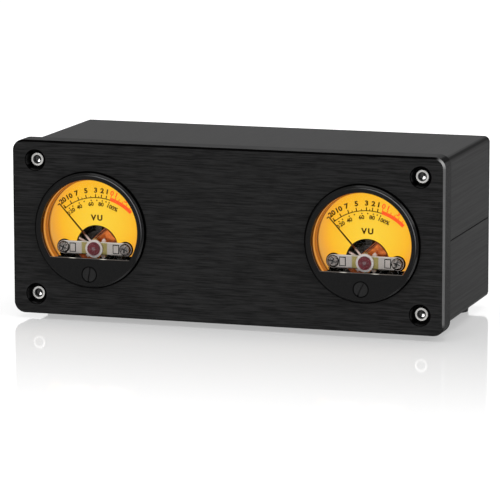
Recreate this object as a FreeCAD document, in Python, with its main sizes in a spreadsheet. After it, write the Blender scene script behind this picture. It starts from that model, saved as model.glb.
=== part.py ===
import FreeCAD, Part
import math
import os
import re
import Sketcher
from FreeCAD import Placement, Rotation, Vector

# A two-channel moving-coil level meter in a small black aluminium case.
# A thick front panel carries two round meters, and a case of two extruded
# half shells with a rear panel holds the driver board and the connectors.
# The frame is X to the right, Y to the back and Z up, with the origin on the
# floor under the middle of the object. Everything is in millimetres.

SIZES = {
    # front panel and the case behind it
    "panel_width": 178.0,
    "panel_height": 70.0,
    "panel_thickness": 9.5,
    "panel_corner": 4.5,
    "panel_edge": 0.8,
    "panel_overhang": 2.0,
    "case_depth": 67.0,
    "case_wall": 2.2,
    "case_corner": 2.4,
    "seam_bevel": 0.3,
    "tongue_height": 1.4,
    "tongue_clearance": 0.15,
    "rear_thickness": 2.4,
    # case screws and the extruded channels that they are driven into
    "screw_inset_x": 9.7,
    "screw_inset_z": 8.0,
    "screw_radius": 1.5,
    "screw_hole_clearance": 0.2,
    "screw_thread_clearance": 0.05,
    "screw_head_radius": 2.75,
    "screw_head_height": 3.0,
    "screw_socket": 2.5,
    "screw_socket_depth": 1.5,
    "front_screw_length": 12.0,
    "counterbore_radius": 4.0,
    "head_recess": 2.4,
    "rear_head_height": 1.7,
    "rear_socket": 2.0,
    "rear_socket_depth": 1.0,
    "rear_screw_length": 8.0,
    "channel_wall": 2.0,
    "channel_slit": 1.4,
    # rubber feet
    "foot_height": 4.1,
    "foot_radius": 5.7,
    "foot_draft": 7.0,
    "foot_inset": 10.5,
    # meter cover, lens and housing
    "meter_inset": 32.95,
    "cover_flange": 1.4,
    "cover_proud": 2.0,
    "cover_edge": 0.6,
    "window_inset": 0.5,
    "window_chord": -11.5,
    "lens_lip": 0.5,
    "lens_recess": 0.8,
    "lens_thickness": 1.0,
    "lens_clearance": 0.1,
    "housing_radius": 21.6,
    "housing_wall": 0.8,
    "housing_back_wall": 1.8,
    "housing_floor": 1.5,
    "housing_clearance": 0.25,
    # light ring and dial
    "dial_depth": 7.2,
    "dial_thickness": 0.6,
    "dial_chord": -11.2,
    "dial_cutout_chord": -5.0,
    "post_slot_clearance": 0.1,
    "ring_wall": 0.6,
    "ring_step": 0.6,
    "ring_step_length": 3.4,
    "ring_clearance": 0.1,
    # backlight board
    "light_board_depth": 12.8,
    "light_board_thickness": 1.2,
    "light_board_gap": 0.8,
    "lamp_width": 3.5,
    "lamp_height": 2.8,
    "lamp_thickness": 1.4,
    "lamp_inset": 3.8,
    "lamp_angle": 50.0,
    # moving-coil movement, seen from its pivot
    "core_front": 9.6,
    "core_length": 8.0,
    "core_air_gap": 0.5,
    "yoke_air_gap": 0.9,
    "yoke_wall": 1.8,
    "yoke_web": 2.4,
    "yoke_clearance": 0.8,
    "glue_gap": 0.05,
    "coil_wire": 1.3,
    "coil_width": 5.0,
    "coil_running_gap": 0.5,
    "frame_thickness": 1.5,
    "frame_gap": 0.7,
    "frame_clearance": 0.15,
    "post_inset": 6.85,
    "post_rise": 0.1,
    "post_across": 3.2,
    "post_clearance": 0.55,
    # front bridge, its screws and the front jewel
    "bridge_depth": 4.4,
    "bridge_thickness": 0.7,
    "bridge_height": 5.2,
    "pad_thickness": 0.12,
    "pad_inner": 5.4,
    "solder_tab_x": 9.15,
    "solder_tab_width": 2.0,
    "solder_tab_height": 3.0,
    "solder_tab_rise": 0.3,
    "bridge_screw_radius": 1.0,
    "bridge_head_radius": 2.1,
    "bridge_head_height": 0.7,
    "cross_slot": 0.5,
    "cross_length": 2.4,
    "cross_depth": 0.4,
    "bridge_screw_length": 5.0,
    "jewel_nut_radius": 3.6,
    "jewel_nut_height": 0.7,
    "jewel_head_radius": 2.7,
    "jewel_head_rise": 0.35,
    "jewel_radius": 1.8,
    "jewel_reach": 0.55,
    "jewel_slot": 0.5,
    "jewel_bore_depth": 1.2,
    "bearing_clearance": 0.06,
    # pointer with its staff, collet and balance arms
    "needle_rest": 42.0,
    "needle_depth": 6.2,
    "needle_thickness": 0.25,
    "needle_length": 23.0,
    "needle_root": 0.8,
    "needle_tip": 0.36,
    "balance_arm": 4.6,
    "balance_width": 0.7,
    "balance_weight": 1.3,
    "staff_radius": 0.8,
    "pivot_radius": 0.3,
    "pivot_length": 1.1,
    # zero adjuster
    "zero_clearance": 0.25,
    "zero_head_radius": 2.85,
    "zero_head_height": 1.6,
    "zero_head_sink": 0.05,
    "zero_slot": 0.6,
    "zero_slot_depth": 0.6,
    "zero_floor": 1.2,
    "zero_shank_radius": 1.2,
    "zero_fit": 0.07,
    "zero_end_gap": 0.1,
    "zero_pin_radius": 0.4,
    "zero_pin_offset": 1.0,
    "zero_slot_left": -10.0,
    "zero_slot_right": -25.0,
    "lever_gap": 0.15,
    "lever_thickness": 0.3,
    "lever_ring": 1.2,
    "lever_arm": 1.6,
    "fork_clearance": 0.12,
    "fork_wall": 0.7,
    "fork_length": 3.4,
    # hairspring
    "spring_gap": 0.1,
    "spring_height": 0.35,
    "spring_strip": 0.14,
    "spring_inner": 1.0,
    "spring_pitch": 0.9,
    "spring_stud": 0.9,
    # terminals and the strap that clamps the meter to the panel
    "stud_spacing": 20.0,
    "stud_rise": 8.0,
    "stud_radius": 1.5,
    "stud_length": 10.0,
    "stud_head_across": 5.5,
    "stud_head_height": 1.1,
    "strap_width": 9.0,
    "strap_thickness": 1.4,
    "strap_clearance": 0.4,
    "strap_foot": 3.0,
    "nut_across": 5.5,
    "nut_height": 2.4,
    # driver board on its rails
    "board_standoff": 9.1,
    "board_thickness": 1.6,
    "board_length": 44.0,
    "board_setback": 1.5,
    "rail_reach": 2.5,
    "rail_thickness": 1.2,
    "rail_clearance": 0.15,
    "capacitor_radius": 4.0,
    "capacitor_height": 11.0,
    "capacitor_pitch": 14.0,
    "chip_length": 9.8,
    "chip_width": 6.4,
    "chip_height": 3.4,
    "header_length": 10.0,
    "header_width": 5.8,
    "header_height": 7.0,
    # rear connectors and controls
    "input_inset": 35.0,
    "input_pitch": 18.0,
    "input_barrel_radius": 4.15,
    "input_barrel_length": 9.0,
    "input_socket_radius": 1.6,
    "input_socket_depth": 8.0,
    "input_flange_across": 11.0,
    "input_flange_height": 1.6,
    "input_thread_radius": 3.6,
    "input_nut_across": 9.0,
    "input_nut_height": 2.0,
    "input_tail_width": 3.0,
    "input_tail": 4.0,
    "level_place": 4.0,
    "level_pitch": 27.0,
    "level_body_width": 11.0,
    "level_body_depth": 8.5,
    "level_bush_radius": 3.5,
    "level_bush_length": 5.0,
    "level_nut_across": 10.0,
    "level_nut_height": 2.0,
    "level_shaft_radius": 2.5,
    "level_shaft_length": 13.0,
    "level_fit": 0.08,
    "knob_radius": 7.0,
    "knob_length": 12.0,
    "knob_gap": 0.5,
    "knob_edge": 0.8,
    "knob_cap": 2.0,
    "knob_mark": 0.8,
    "switch_inset": 49.0,
    "switch_height": 15.0,
    "switch_width": 10.5,
    "switch_flange": 1.6,
    "switch_border": 0.9,
    "switch_depth": 10.0,
    "switch_cavity_height": 12.0,
    "switch_cavity_width": 7.2,
    "switch_cavity_depth": 5.5,
    "rocker_clearance": 0.25,
    "rocker_half": 5.0,
    "rocker_rise": 3.2,
    "rocker_dip": 1.7,
    "rocker_belly": 3.4,
    "rocker_tilt": 11.0,
    "rocker_pin": 0.9,
    "rocker_pin_length": 0.7,
    "rocker_pivot_depth": 0.6,
    "power_inset": 25.0,
    "power_flange_across": 12.5,
    "power_flange_height": 1.5,
    "power_body_radius": 5.2,
    "power_body_depth": 12.0,
    "power_bore_radius": 2.8,
    "power_bore_depth": 9.0,
    "power_pin_radius": 1.0,
    "panel_hole_clearance": 0.15,
}

# Places and sums that follow from the driving dimensions.
FORMULAS = {
    "case_width": "panel_width - 2 * panel_overhang",
    "case_height": "panel_height - 2 * panel_overhang",
    "case_back": "panel_thickness + case_depth",
    "rear_proud": "knob_gap + level_bush_length + knob_length",
    "total_depth": "cover_proud + case_back + rear_thickness + rear_proud",
    "front_y": "cover_proud - total_depth / 2",
    "rear_y": "front_y + case_back + rear_thickness",
    "centre_z": "foot_height + case_height / 2",
    "pivot_z": "centre_z + pivot_rise",
    "screw_x": "panel_width / 2 - screw_inset_x",
    "screw_z": "panel_height / 2 - screw_inset_z",
    "meter_x": "panel_width / 2 - meter_inset",
    "input_x": "case_width / 2 - input_inset",
    "switch_x": "switch_inset - case_width / 2",
    "power_x": "power_inset - case_width / 2",
    "screw_hole": "screw_radius + screw_hole_clearance",
    "thread_bore": "screw_radius + screw_thread_clearance",
    "head_seat": "head_recess + screw_head_height",
    "housing_bore": "housing_radius - housing_wall",
    "housing_back_bore": "housing_radius - housing_back_wall",
    "cover_radius": "housing_radius + cover_flange",
    "window_radius": "housing_bore - window_inset",
    "lens_radius": "window_radius + lens_lip",
    "lens_front": "lens_recess - cover_proud",
    "lens_back": "lens_front + lens_thickness",
    "dial_back": "dial_depth + dial_thickness",
    "dial_radius": "housing_bore - ring_clearance",
    "ring_inner": "dial_radius - ring_wall",
    "core_back": "core_front + core_length",
    "post_x": "housing_back_bore - post_inset",
    "yoke_radius": "post_x - post_across / 2 - post_clearance",
    "yoke_bore": "yoke_radius - yoke_wall",
    "coil_outside": "yoke_bore - yoke_air_gap",
    "coil_inside": "coil_outside - coil_wire",
    "core_radius": "coil_inside - core_air_gap",
    "pivot_rise": "yoke_radius + yoke_clearance - housing_back_bore",
    "frame_half_width": "post_x + post_across / 2",
    "frame_half_height": "pivot_rise + sqrt((housing_back_bore - frame_clearance)^2 - frame_half_width^2)",
    "coil_front": "core_front - coil_running_gap - coil_wire",
    "coil_back": "core_back + coil_running_gap + coil_wire",
    "frame_front": "coil_back + frame_gap",
    "frame_back": "frame_front + frame_thickness",
    "floor_front": "frame_back",
    "housing_depth": "floor_front + housing_floor",
    "bridge_back": "bridge_depth + bridge_thickness",
    "jewel_back": "bridge_back + jewel_reach",
    "lever_front": "bridge_back + lever_gap",
    "lever_back": "lever_front + lever_thickness",
    "spring_front": "lever_back + spring_gap",
    "spring_back": "spring_front + spring_height",
    "needle_back": "needle_depth + needle_thickness",
    "zero_floor_front": "zero_head_sink + zero_head_height + zero_end_gap - cover_proud",
    "fork_slot": "zero_pin_radius + fork_clearance",
    "zero_rise": "zero_head_radius + zero_clearance - housing_bore",
    "fork_rise": "zero_rise - pivot_rise",
    "strap_front": "housing_depth",
    "strap_back": "strap_front + strap_thickness",
    "lamp_board_back": "light_board_depth + light_board_thickness",
    "board_rise": "case_wall + board_standoff - case_height / 2",
    "board_top": "board_rise + board_thickness / 2",
    "board_bottom": "board_rise - board_thickness / 2",
    "board_back": "case_back - board_setback",
    "board_half": "case_width / 2 - case_wall - rail_clearance",
    "switch_body_half_height": "switch_height / 2 - switch_border",
    "switch_body_half_width": "switch_width / 2 - switch_border",
}

# A piece that faces the front has its own Z towards the viewer, and one that
# faces the rear has it towards the back. Depths are measured inwards from the
# front panel's or the rear panel's outer face.
FACING_FRONT = Rotation(Vector(1, 0, 0), 90)
FACING_REAR = Rotation(Vector(0, 1, 1), 180)
FACING_UP = Rotation()
SIDES = {"left": "-1", "right": "1"}
SPRING_TURNS = 2
TOUCHING = 1e-6
PARALLEL = 0.999

document = FreeCAD.newDocument("level_meter_unit")
sheet = document.addObject("Spreadsheet::Sheet", "sizes")
for row, (alias, number) in enumerate(SIZES.items(), start=1):
    sheet.set("A%d" % row, alias)
    sheet.set("B%d" % row, str(number))
    sheet.setAlias("B%d" % row, alias)
document.recompute()
pieces = []


def formula(text):
    """Writes out the named sizes and sums in a formula for the expression engine."""
    def word(match):
        name = match.group(0)
        if name in SIZES:
            return "sizes." + name
        if name in FORMULAS:
            return "(" + formula(FORMULAS[name]) + ")"
        return name
    return re.sub(r"[a-z][a-z_]+", word, text)


def value(text):
    """Works a formula out as a number."""
    return float(sheet.evalExpression(formula(text)))


def tie(thing, path, text):
    """Binds a property of a document object to a formula of the sheet's cells."""
    thing.setExpression(path, formula(text))


def minus(text):
    return "-(%s)" % text


def start_body(name, x="0", y="front_y", z="centre_z", facing=FACING_FRONT):
    """Starts the body of one sub-part at its place in the object."""
    body = document.addObject("PartDesign::Body", name)
    body.Label = name
    body.AllowCompound = True
    body.Placement = Placement(Vector(), facing)
    tie(body, "Placement.Base.x", x)
    tie(body, "Placement.Base.y", y)
    tie(body, "Placement.Base.z", z)
    pieces.append(body)
    return body


def origin_feature(body, role):
    return next(part for part in body.Origin.OriginFeatures if part.Role == role)


def start_sketch(body, plane="XY_Plane", lift="0", turn=None):
    """Lays a sketch on a body's own origin plane, lifted and turned."""
    sketch = body.newObject("Sketcher::SketchObject", body.Name + "_sketch")
    sketch.AttachmentSupport = (origin_feature(body, plane), [""])
    sketch.MapMode = "FlatFace"
    if lift != "0":
        tie(sketch, "AttachmentOffset.Base.z", lift)
    if turn is not None:
        tie(sketch, "AttachmentOffset.Rotation.Angle", turn)
    return sketch


def pin(sketch, geometry, point, x, y):
    """Holds a point of the sketch at the given formulas from its origin."""
    for kind, text in (("DistanceX", x), ("DistanceY", y)):
        if text is None:
            continue
        rule = Sketcher.Constraint(kind, -1, 1, geometry, point, value(text))
        index = sketch.addConstraint(rule)
        if text != "0":
            sketch.setExpression("Constraints[%d]" % index, formula(text))


def polygon(sketch, corners):
    """Draws a closed outline of straight sides through its corners."""
    points = [Vector(value(x), value(y), 0) for x, y in corners]
    count = len(points)
    sides = [sketch.addGeometry(Part.LineSegment(points[i], points[(i + 1) % count]), False)
             for i in range(count)]
    for i, (x, y) in enumerate(corners):
        sketch.addConstraint(Sketcher.Constraint("Coincident", sides[i - 1], 2, sides[i], 1))
        pin(sketch, sides[i], 1, x, y)


def rectangle(sketch, left, right, bottom, top):
    polygon(sketch, [(left, bottom), (right, bottom), (right, top), (left, top)])


def centred_box(sketch, x, y, width, height):
    rectangle(sketch, "%s - (%s) / 2" % (x, width), "%s + (%s) / 2" % (x, width),
              "%s - (%s) / 2" % (y, height), "%s + (%s) / 2" % (y, height))


def circle(sketch, x, y, radius):
    shape = Part.Circle(Vector(value(x), value(y), 0), Vector(0, 0, 1), value(radius))
    index = sketch.addGeometry(shape, False)
    pin(sketch, index, 3, x, y)
    rule = sketch.addConstraint(Sketcher.Constraint("Radius", index, value(radius)))
    sketch.setExpression("Constraints[%d]" % rule, formula(radius))


def hexagon(sketch, x, y, across):
    corners = []
    for step in range(6):
        turn = 30 + 60 * step
        corners.append(("%s + (%s) / sqrt(3) * cos(%d deg)" % (x, across, turn),
                        "%s + (%s) / sqrt(3) * sin(%d deg)" % (y, across, turn)))
    polygon(sketch, corners)


def segment(sketch, radius, chord, rise="0"):
    """Draws a round outline cut off below by a level chord, such as the window."""
    centre = Vector(0, value(rise), 0)
    reach = value(radius)
    start = math.asin(value(chord) / reach)
    whole = Part.Circle(centre, Vector(0, 0, 1), reach)
    arc = sketch.addGeometry(Part.ArcOfCircle(whole, start, math.pi - start), False)
    half = reach * math.cos(start)
    low = centre.y + value(chord)
    line = sketch.addGeometry(Part.LineSegment(Vector(-half, low, 0), Vector(half, low, 0)), False)
    pin(sketch, arc, 3, "0", rise)
    rule = sketch.addConstraint(Sketcher.Constraint("Radius", arc, reach))
    sketch.setExpression("Constraints[%d]" % rule, formula(radius))
    sketch.addConstraint(Sketcher.Constraint("Coincident", arc, 2, line, 1))
    sketch.addConstraint(Sketcher.Constraint("Coincident", arc, 1, line, 2))
    sketch.addConstraint(Sketcher.Constraint("Horizontal", line))
    pin(sketch, line, 1, None, "(%s) + (%s)" % (rise, chord))


def pad(body, front, back, draw, turn=None):
    """Pads what draw sketches between two depths behind the face."""
    sketch = start_sketch(body, lift=minus(back), turn=turn)
    draw(sketch)
    feature = body.newObject("PartDesign::Pad", body.Name + "_pad")
    feature.Profile = sketch
    tie(feature, "Length", "(%s) - (%s)" % (back, front))
    return feature


def pocket(body, front, back, draw, turn=None):
    """Cuts what draw sketches between two depths behind the face."""
    sketch = start_sketch(body, lift=minus(back), turn=turn)
    draw(sketch)
    feature = body.newObject("PartDesign::Pocket", body.Name + "_pocket")
    feature.Profile = sketch
    feature.Reversed = True
    tie(feature, "Length", "(%s) - (%s)" % (back, front))
    return feature


def revolve(body, profile):
    """Turns a profile of radius and depth pairs about the body's own Z axis."""
    sketch = start_sketch(body, plane="XZ_Plane")
    polygon(sketch, [(radius, minus(depth)) for radius, depth in profile])
    feature = body.newObject("PartDesign::Revolution", body.Name + "_revolution")
    feature.Profile = sketch
    feature.ReferenceAxis = (sketch, ["V_Axis"])
    feature.Angle = 360
    return feature


def soften(body, feature, kind, size, wanted):
    """Rounds or chamfers the edges of a feature that the test picks."""
    document.recompute()
    names = ["Edge%d" % (i + 1) for i, edge in enumerate(feature.Shape.Edges) if wanted(edge)]
    softened = body.newObject("PartDesign::" + kind, body.Name + "_" + kind.lower())
    softened.Base = (feature, names)
    tie(softened, "Radius" if kind == "Fillet" else "Size", size)
    return softened


def at_points(places, draw):
    """Repeats one outline at several places of a sketch."""
    def draw_all(sketch):
        for x, y in places:
            draw(sketch, x, y)
    return draw_all


def round_at(places, radius):
    return at_points(places, lambda sketch, x, y: circle(sketch, x, y, radius))


def hexagon_at(places, across):
    return at_points(places, lambda sketch, x, y: hexagon(sketch, x, y, across))


def runs_along(edge, axis):
    """Tells whether an edge is straight along one of the body's own axes."""
    first, last = edge.Vertexes[0].Point, edge.Vertexes[-1].Point
    return (last - first).Length > TOUCHING and abs((last - first).normalize().dot(axis)) > PARALLEL


CASE_SCREWS = [("%d * screw_x" % a, "%d * screw_z" % b) for a in (-1, 1) for b in (-1, 1)]


def front_panel():
    """Thick plate with two meter holes and counterbored screw holes at its corners."""
    body = start_body("front_panel")
    meters = [("%d * meter_x" % side, "0") for side in (-1, 1)]
    plate = pad(body, "0", "panel_thickness",
                lambda sketch: centred_box(sketch, "0", "0", "panel_width", "panel_height"))
    rounded = soften(body, plate, "Fillet", "panel_corner",
                     lambda edge: runs_along(edge, Vector(0, 0, 1)))
    soften(body, rounded, "Chamfer", "panel_edge",
           lambda edge: max(abs(vertex.Z) for vertex in edge.Vertexes) < TOUCHING)
    pocket(body, "0", "panel_thickness", round_at(meters, "housing_radius + housing_clearance"))
    pocket(body, "0", "head_seat", round_at(CASE_SCREWS, "counterbore_radius"))
    pocket(body, "head_seat", "panel_thickness", round_at(CASE_SCREWS, "screw_hole"))


def shell(name, side):
    """Half of the extruded case, with its seam tongue, screw channels and rails."""
    body = start_body(name)
    outer = "case_width / 2"
    middle = "%s - case_wall / 2" % outer
    inner = "%s - case_wall" % outer
    low = "case_height / 2"
    if side < 0:
        lip = [(middle, "0"), (middle, "-tongue_height"), (inner, "-tongue_height")]
    else:
        lip = [("%s + tongue_clearance" % middle, "0"),
               ("%s + tongue_clearance" % middle, "tongue_height + tongue_clearance"),
               (inner, "tongue_height + tongue_clearance")]
    half = [(outer, low), (outer, "seam_bevel"), ("%s - seam_bevel" % outer, "0")]
    half += lip + [(inner, "%s - case_wall" % low)]
    right = [(x, "%d * (%s)" % (side, y)) for x, y in half]
    left = [(minus(x), y) for x, y in reversed(right)]
    profile = pad(body, "panel_thickness", "case_back", lambda sketch: polygon(sketch, right + left))
    corner = value(outer)
    soften(body, profile, "Fillet", "case_corner",
           lambda edge: runs_along(edge, Vector(0, 0, 1))
           and abs(abs(edge.Vertexes[0].X) - corner) < TOUCHING
           and abs(edge.Vertexes[0].Y) > value(low) - TOUCHING)
    screws = [("%d * screw_x" % sign, "%d * screw_z" % side) for sign in (-1, 1)]
    for sign in (-1, 1):
        screw_channel(body, side, sign)
    pocket(body, "panel_thickness", "case_back", round_at(screws, "thread_bore"))
    if side < 0:
        board_rails(body)


def screw_channel(body, side, sign):
    """Thickened corner that takes a screw at each end, with a slit along its inner side."""
    inner_x = "%d * (screw_x - thread_bore - channel_wall)" % sign
    inner_z = "%d * (screw_z - thread_bore - channel_wall)" % side
    wall_x = "%d * (case_width / 2 - case_wall / 2)" % sign
    wall_z = "%d * (case_height / 2 - case_wall / 2)" % side
    pad(body, "panel_thickness", "case_back",
        lambda sketch: rectangle(sketch, inner_x, wall_x, inner_z, wall_z))
    screw_x = "%d * screw_x" % sign
    screw_z = "%d * screw_z" % side
    pocket(body, "panel_thickness", "case_back",
           lambda sketch: rectangle(sketch, "%s - %d * channel_slit" % (inner_x, sign), screw_x,
                                    "%s - channel_slit / 2" % screw_z,
                                    "%s + channel_slit / 2" % screw_z))


def board_rails(body):
    """Two ribs on each side wall that the driver board slides between."""
    wall = "case_width / 2 - case_wall / 2"
    reach = "case_width / 2 - case_wall - rail_reach"
    levels = [("board_top + rail_clearance", "board_top + rail_clearance + rail_thickness"),
              ("board_bottom - rail_clearance - rail_thickness", "board_bottom - rail_clearance")]

    def draw(sketch):
        for bottom, top in levels:
            rectangle(sketch, reach, wall, bottom, top)
            rectangle(sketch, minus(wall), minus(reach), bottom, top)
    pad(body, "panel_thickness", "case_back", draw)


def rear_panel():
    """Thin plate that closes the case and carries the connectors."""
    body = start_body("rear_panel", y="rear_y", facing=FACING_REAR)
    plate = pad(body, "0", "rear_thickness",
                lambda sketch: centred_box(sketch, "0", "0", "case_width", "case_height"))
    soften(body, plate, "Fillet", "case_corner", lambda edge: runs_along(edge, Vector(0, 0, 1)))
    round_holes = [(CASE_SCREWS, "screw_hole"),
                   (input_places(), "input_thread_radius + panel_hole_clearance"),
                   (level_places(), "level_bush_radius + panel_hole_clearance"),
                   ([("-power_x", "0")], "power_body_radius + panel_hole_clearance")]
    for places, radius in round_holes:
        pocket(body, "0", "rear_thickness", round_at(places, radius))
    pocket(body, "0", "rear_thickness",
           lambda sketch: centred_box(sketch, "-switch_x", "0",
                                      "2 * (switch_body_half_width + panel_hole_clearance)",
                                      "2 * (switch_body_half_height + panel_hole_clearance)"))


def input_places():
    return [("-input_x + %d * input_pitch / 2" % side, "0") for side in (-1, 1)]


def level_places():
    return [("-level_place + %d * level_pitch / 2" % side, "0") for side in (-1, 1)]


def front_panel_screws():
    """Socket cap screws that sit deep in the front panel's counterbores."""
    body = start_body("front_panel_screws")
    pad(body, "head_recess", "head_seat", round_at(CASE_SCREWS, "screw_head_radius"))
    pad(body, "head_seat", "head_seat + front_screw_length", round_at(CASE_SCREWS, "screw_radius"))
    pocket(body, "head_recess", "head_recess + screw_socket_depth",
           hexagon_at(CASE_SCREWS, "screw_socket"))


def rear_panel_screws():
    """Low-head socket screws that hold the rear panel."""
    body = start_body("rear_panel_screws", y="rear_y", facing=FACING_REAR)
    pad(body, "-rear_head_height", "0", round_at(CASE_SCREWS, "screw_head_radius"))
    pad(body, "0", "rear_screw_length", round_at(CASE_SCREWS, "screw_radius"))
    pocket(body, "-rear_head_height", "rear_socket_depth - rear_head_height",
           hexagon_at(CASE_SCREWS, "rear_socket"))


def feet():
    """Four moulded rubber feet with a drafted side."""
    body = start_body("feet", y="front_y + panel_thickness + case_depth / 2", z="foot_height",
                      facing=FACING_UP)
    x = "case_width / 2 - foot_inset"
    tread = "%s + foot_radius - foot_height * tan(foot_draft * 1 deg)" % x
    sketch = start_sketch(body, plane="XZ_Plane", lift="case_depth / 2 - foot_inset")
    polygon(sketch, [(x, "0"), ("%s + foot_radius" % x, "0"), (tread, "-foot_height"),
                     (x, "-foot_height")])
    axis = sketch.addGeometry(Part.LineSegment(Vector(value(x), 0, 0),
                                               Vector(value(x), value("foot_height"), 0)), True)
    pin(sketch, axis, 1, x, "0")
    pin(sketch, axis, 2, x, "foot_height")
    foot = body.newObject("PartDesign::Revolution", "foot")
    foot.Profile = sketch
    foot.ReferenceAxis = (sketch, ["Axis0"])
    foot.Angle = 360
    copies = body.newObject("PartDesign::MultiTransform", "feet_copies")
    copies.Originals = [foot]
    mirrors = []
    for role in ("YZ_Plane", "XZ_Plane"):
        mirror = body.newObject("PartDesign::Mirrored", "feet_mirror")
        mirror.MirrorPlane = (origin_feature(body, role), [""])
        mirrors.append(mirror)
    copies.Transformations = mirrors
    body.Tip = copies


def meter_body(side, name, rise="0"):
    """Starts a sub-part of the left or right meter, on the panel's front plane."""
    return start_body("%s_%s" % (side, name), x="%s * meter_x" % SIDES[side],
                      z="centre_z + (%s)" % rise)


def meter_cover(side):
    """Moulded front cover: a proud bevelled ring and a blind lower part round a D window."""
    body = meter_body(side, "meter_cover")
    disc = pad(body, "-cover_proud", "0", round_at([("0", "0")], "cover_radius"))
    soften(body, disc, "Chamfer", "cover_edge",
           lambda edge: min(vertex.Z for vertex in edge.Vertexes) > value("cover_proud") - TOUCHING)
    pad(body, "0", "zero_floor", round_at([("0", "zero_rise")], "zero_head_radius"))
    pocket(body, "-cover_proud", "0", lambda sketch: segment(sketch, "window_radius", "window_chord"))
    pocket(body, "lens_front", "0",
           lambda sketch: segment(sketch, "lens_radius", "window_chord - lens_lip"))
    pocket(body, "-cover_proud", "zero_floor_front",
           round_at([("0", "zero_rise")], "zero_head_radius + zero_fit"))
    pocket(body, "zero_floor_front", "zero_floor",
           round_at([("0", "zero_rise")], "zero_shank_radius + zero_fit"))


def meter_lens(side):
    """Clear window that lies in the rebate behind the cover's lip."""
    body = meter_body(side, "meter_lens")
    pad(body, "lens_front", "lens_back",
        lambda sketch: segment(sketch, "lens_radius - lens_clearance",
                               "window_chord - lens_lip + lens_clearance"))


def light_ring(side):
    """Stepped translucent ring between the lens and the dial, open at the bottom."""
    body = meter_body(side, "light_ring")
    step = "lens_back + ring_step_length"
    revolve(body, [("dial_radius", "lens_back"), ("dial_radius", "dial_depth"),
                   ("ring_inner - ring_step", "dial_depth"), ("ring_inner - ring_step", step),
                   ("ring_inner", step), ("ring_inner", "lens_back")])
    pocket(body, "lens_back", "dial_depth",
           lambda sketch: rectangle(sketch, "-housing_radius", "housing_radius",
                                    "-housing_radius", "window_chord - lens_lip"))


def meter_housing(side):
    """Moulded cup with a ledge for the dial and a floor that the movement stands on."""
    body = meter_body(side, "meter_housing")
    revolve(body, [("0", "floor_front"), ("housing_back_bore", "floor_front"),
                   ("housing_back_bore", "dial_back"), ("housing_bore", "dial_back"),
                   ("housing_bore", "0"), ("housing_radius", "0"),
                   ("housing_radius", "housing_depth"), ("0", "housing_depth")])
    pocket(body, "floor_front", "housing_depth",
           round_at(stud_places(), "stud_radius + panel_hole_clearance"))


def stud_places():
    return [("%d * stud_spacing / 2" % sign, "stud_rise") for sign in (-1, 1)]


def dial_plate(side):
    """Flat D-shaped dial with a half-moon cut-out over the movement and a slot for the posts."""
    body = meter_body(side, "dial_plate")
    pad(body, "dial_depth", "dial_back",
        lambda sketch: segment(sketch, "dial_radius", "dial_chord"))
    pocket(body, "dial_depth", "dial_back",
           lambda sketch: segment(sketch, "yoke_bore", "dial_cutout_chord", "pivot_rise"))
    pocket(body, "dial_depth", "dial_back",
           lambda sketch: centred_box(sketch, "0", "pivot_rise + post_rise",
                                      "2 * (frame_half_width + post_slot_clearance)",
                                      "2 * (post_across / sqrt(3) + post_slot_clearance)"))


def backlight_board(side):
    """Crescent circuit board behind the dial with three light-emitting diodes."""
    body = meter_body(side, "backlight_board")
    pad(body, "light_board_depth", "lamp_board_back",
        lambda sketch: segment(sketch, "housing_back_bore - ring_clearance", "0"))
    pocket(body, "light_board_depth", "lamp_board_back",
           round_at([("0", "pivot_rise")], "yoke_radius + light_board_gap"))
    reach = "(housing_back_bore - lamp_inset)"
    lamps = [("%s * sin(%d * lamp_angle * 1 deg)" % (reach, step),
              "%s * cos(%d * lamp_angle * 1 deg)" % (reach, step)) for step in (-1, 0, 1)]
    pad(body, "light_board_depth - lamp_thickness", "light_board_depth",
        at_points(lamps, lambda sketch, x, y: centred_box(sketch, x, y, "lamp_width", "lamp_height")))


def magnet_yoke(side):
    """Soft-iron return ring with an upper and a lower web that hold the core."""
    body = meter_body(side, "magnet_yoke", "pivot_rise")
    revolve(body, [("yoke_bore", "core_front"), ("yoke_radius", "core_front"),
                   ("yoke_radius", "frame_front"), ("yoke_bore", "frame_front")])

    def draw(sketch):
        for sign in ("-1", "1"):
            rectangle(sketch, "-yoke_web / 2", "yoke_web / 2",
                      "%s * (core_radius + glue_gap)" % sign, "%s * (yoke_bore + yoke_wall / 2)" % sign)
    pad(body, "core_front", "core_back", draw)


def core_magnet(side):
    """Cylindrical magnet in the middle of the coil."""
    body = meter_body(side, "core_magnet", "pivot_rise")
    pad(body, "core_front", "core_back", round_at([("0", "0")], "core_radius"))


def movement_frame(side):
    """Die-cast rear plate with two long hexagonal pillars and the seat of the rear jewel."""
    body = meter_body(side, "movement_frame", "pivot_rise")
    pad(body, "frame_front", "frame_back",
        lambda sketch: centred_box(sketch, "0", "0", "2 * frame_half_width",
                                   "2 * frame_half_height"))
    pad(body, "bridge_back", "frame_front", hexagon_at(post_places(), "post_across"))
    pocket(body, "bridge_back", "bridge_depth + bridge_screw_length + bridge_screw_radius",
           round_at(post_places(), "bridge_screw_radius + screw_thread_clearance"))
    pocket(body, "frame_front", "frame_front + pivot_length",
           round_at([("0", "0")], "pivot_radius + bearing_clearance"))


def post_places():
    return [("%d * post_x" % sign, "post_rise") for sign in (-1, 1)]


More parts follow.
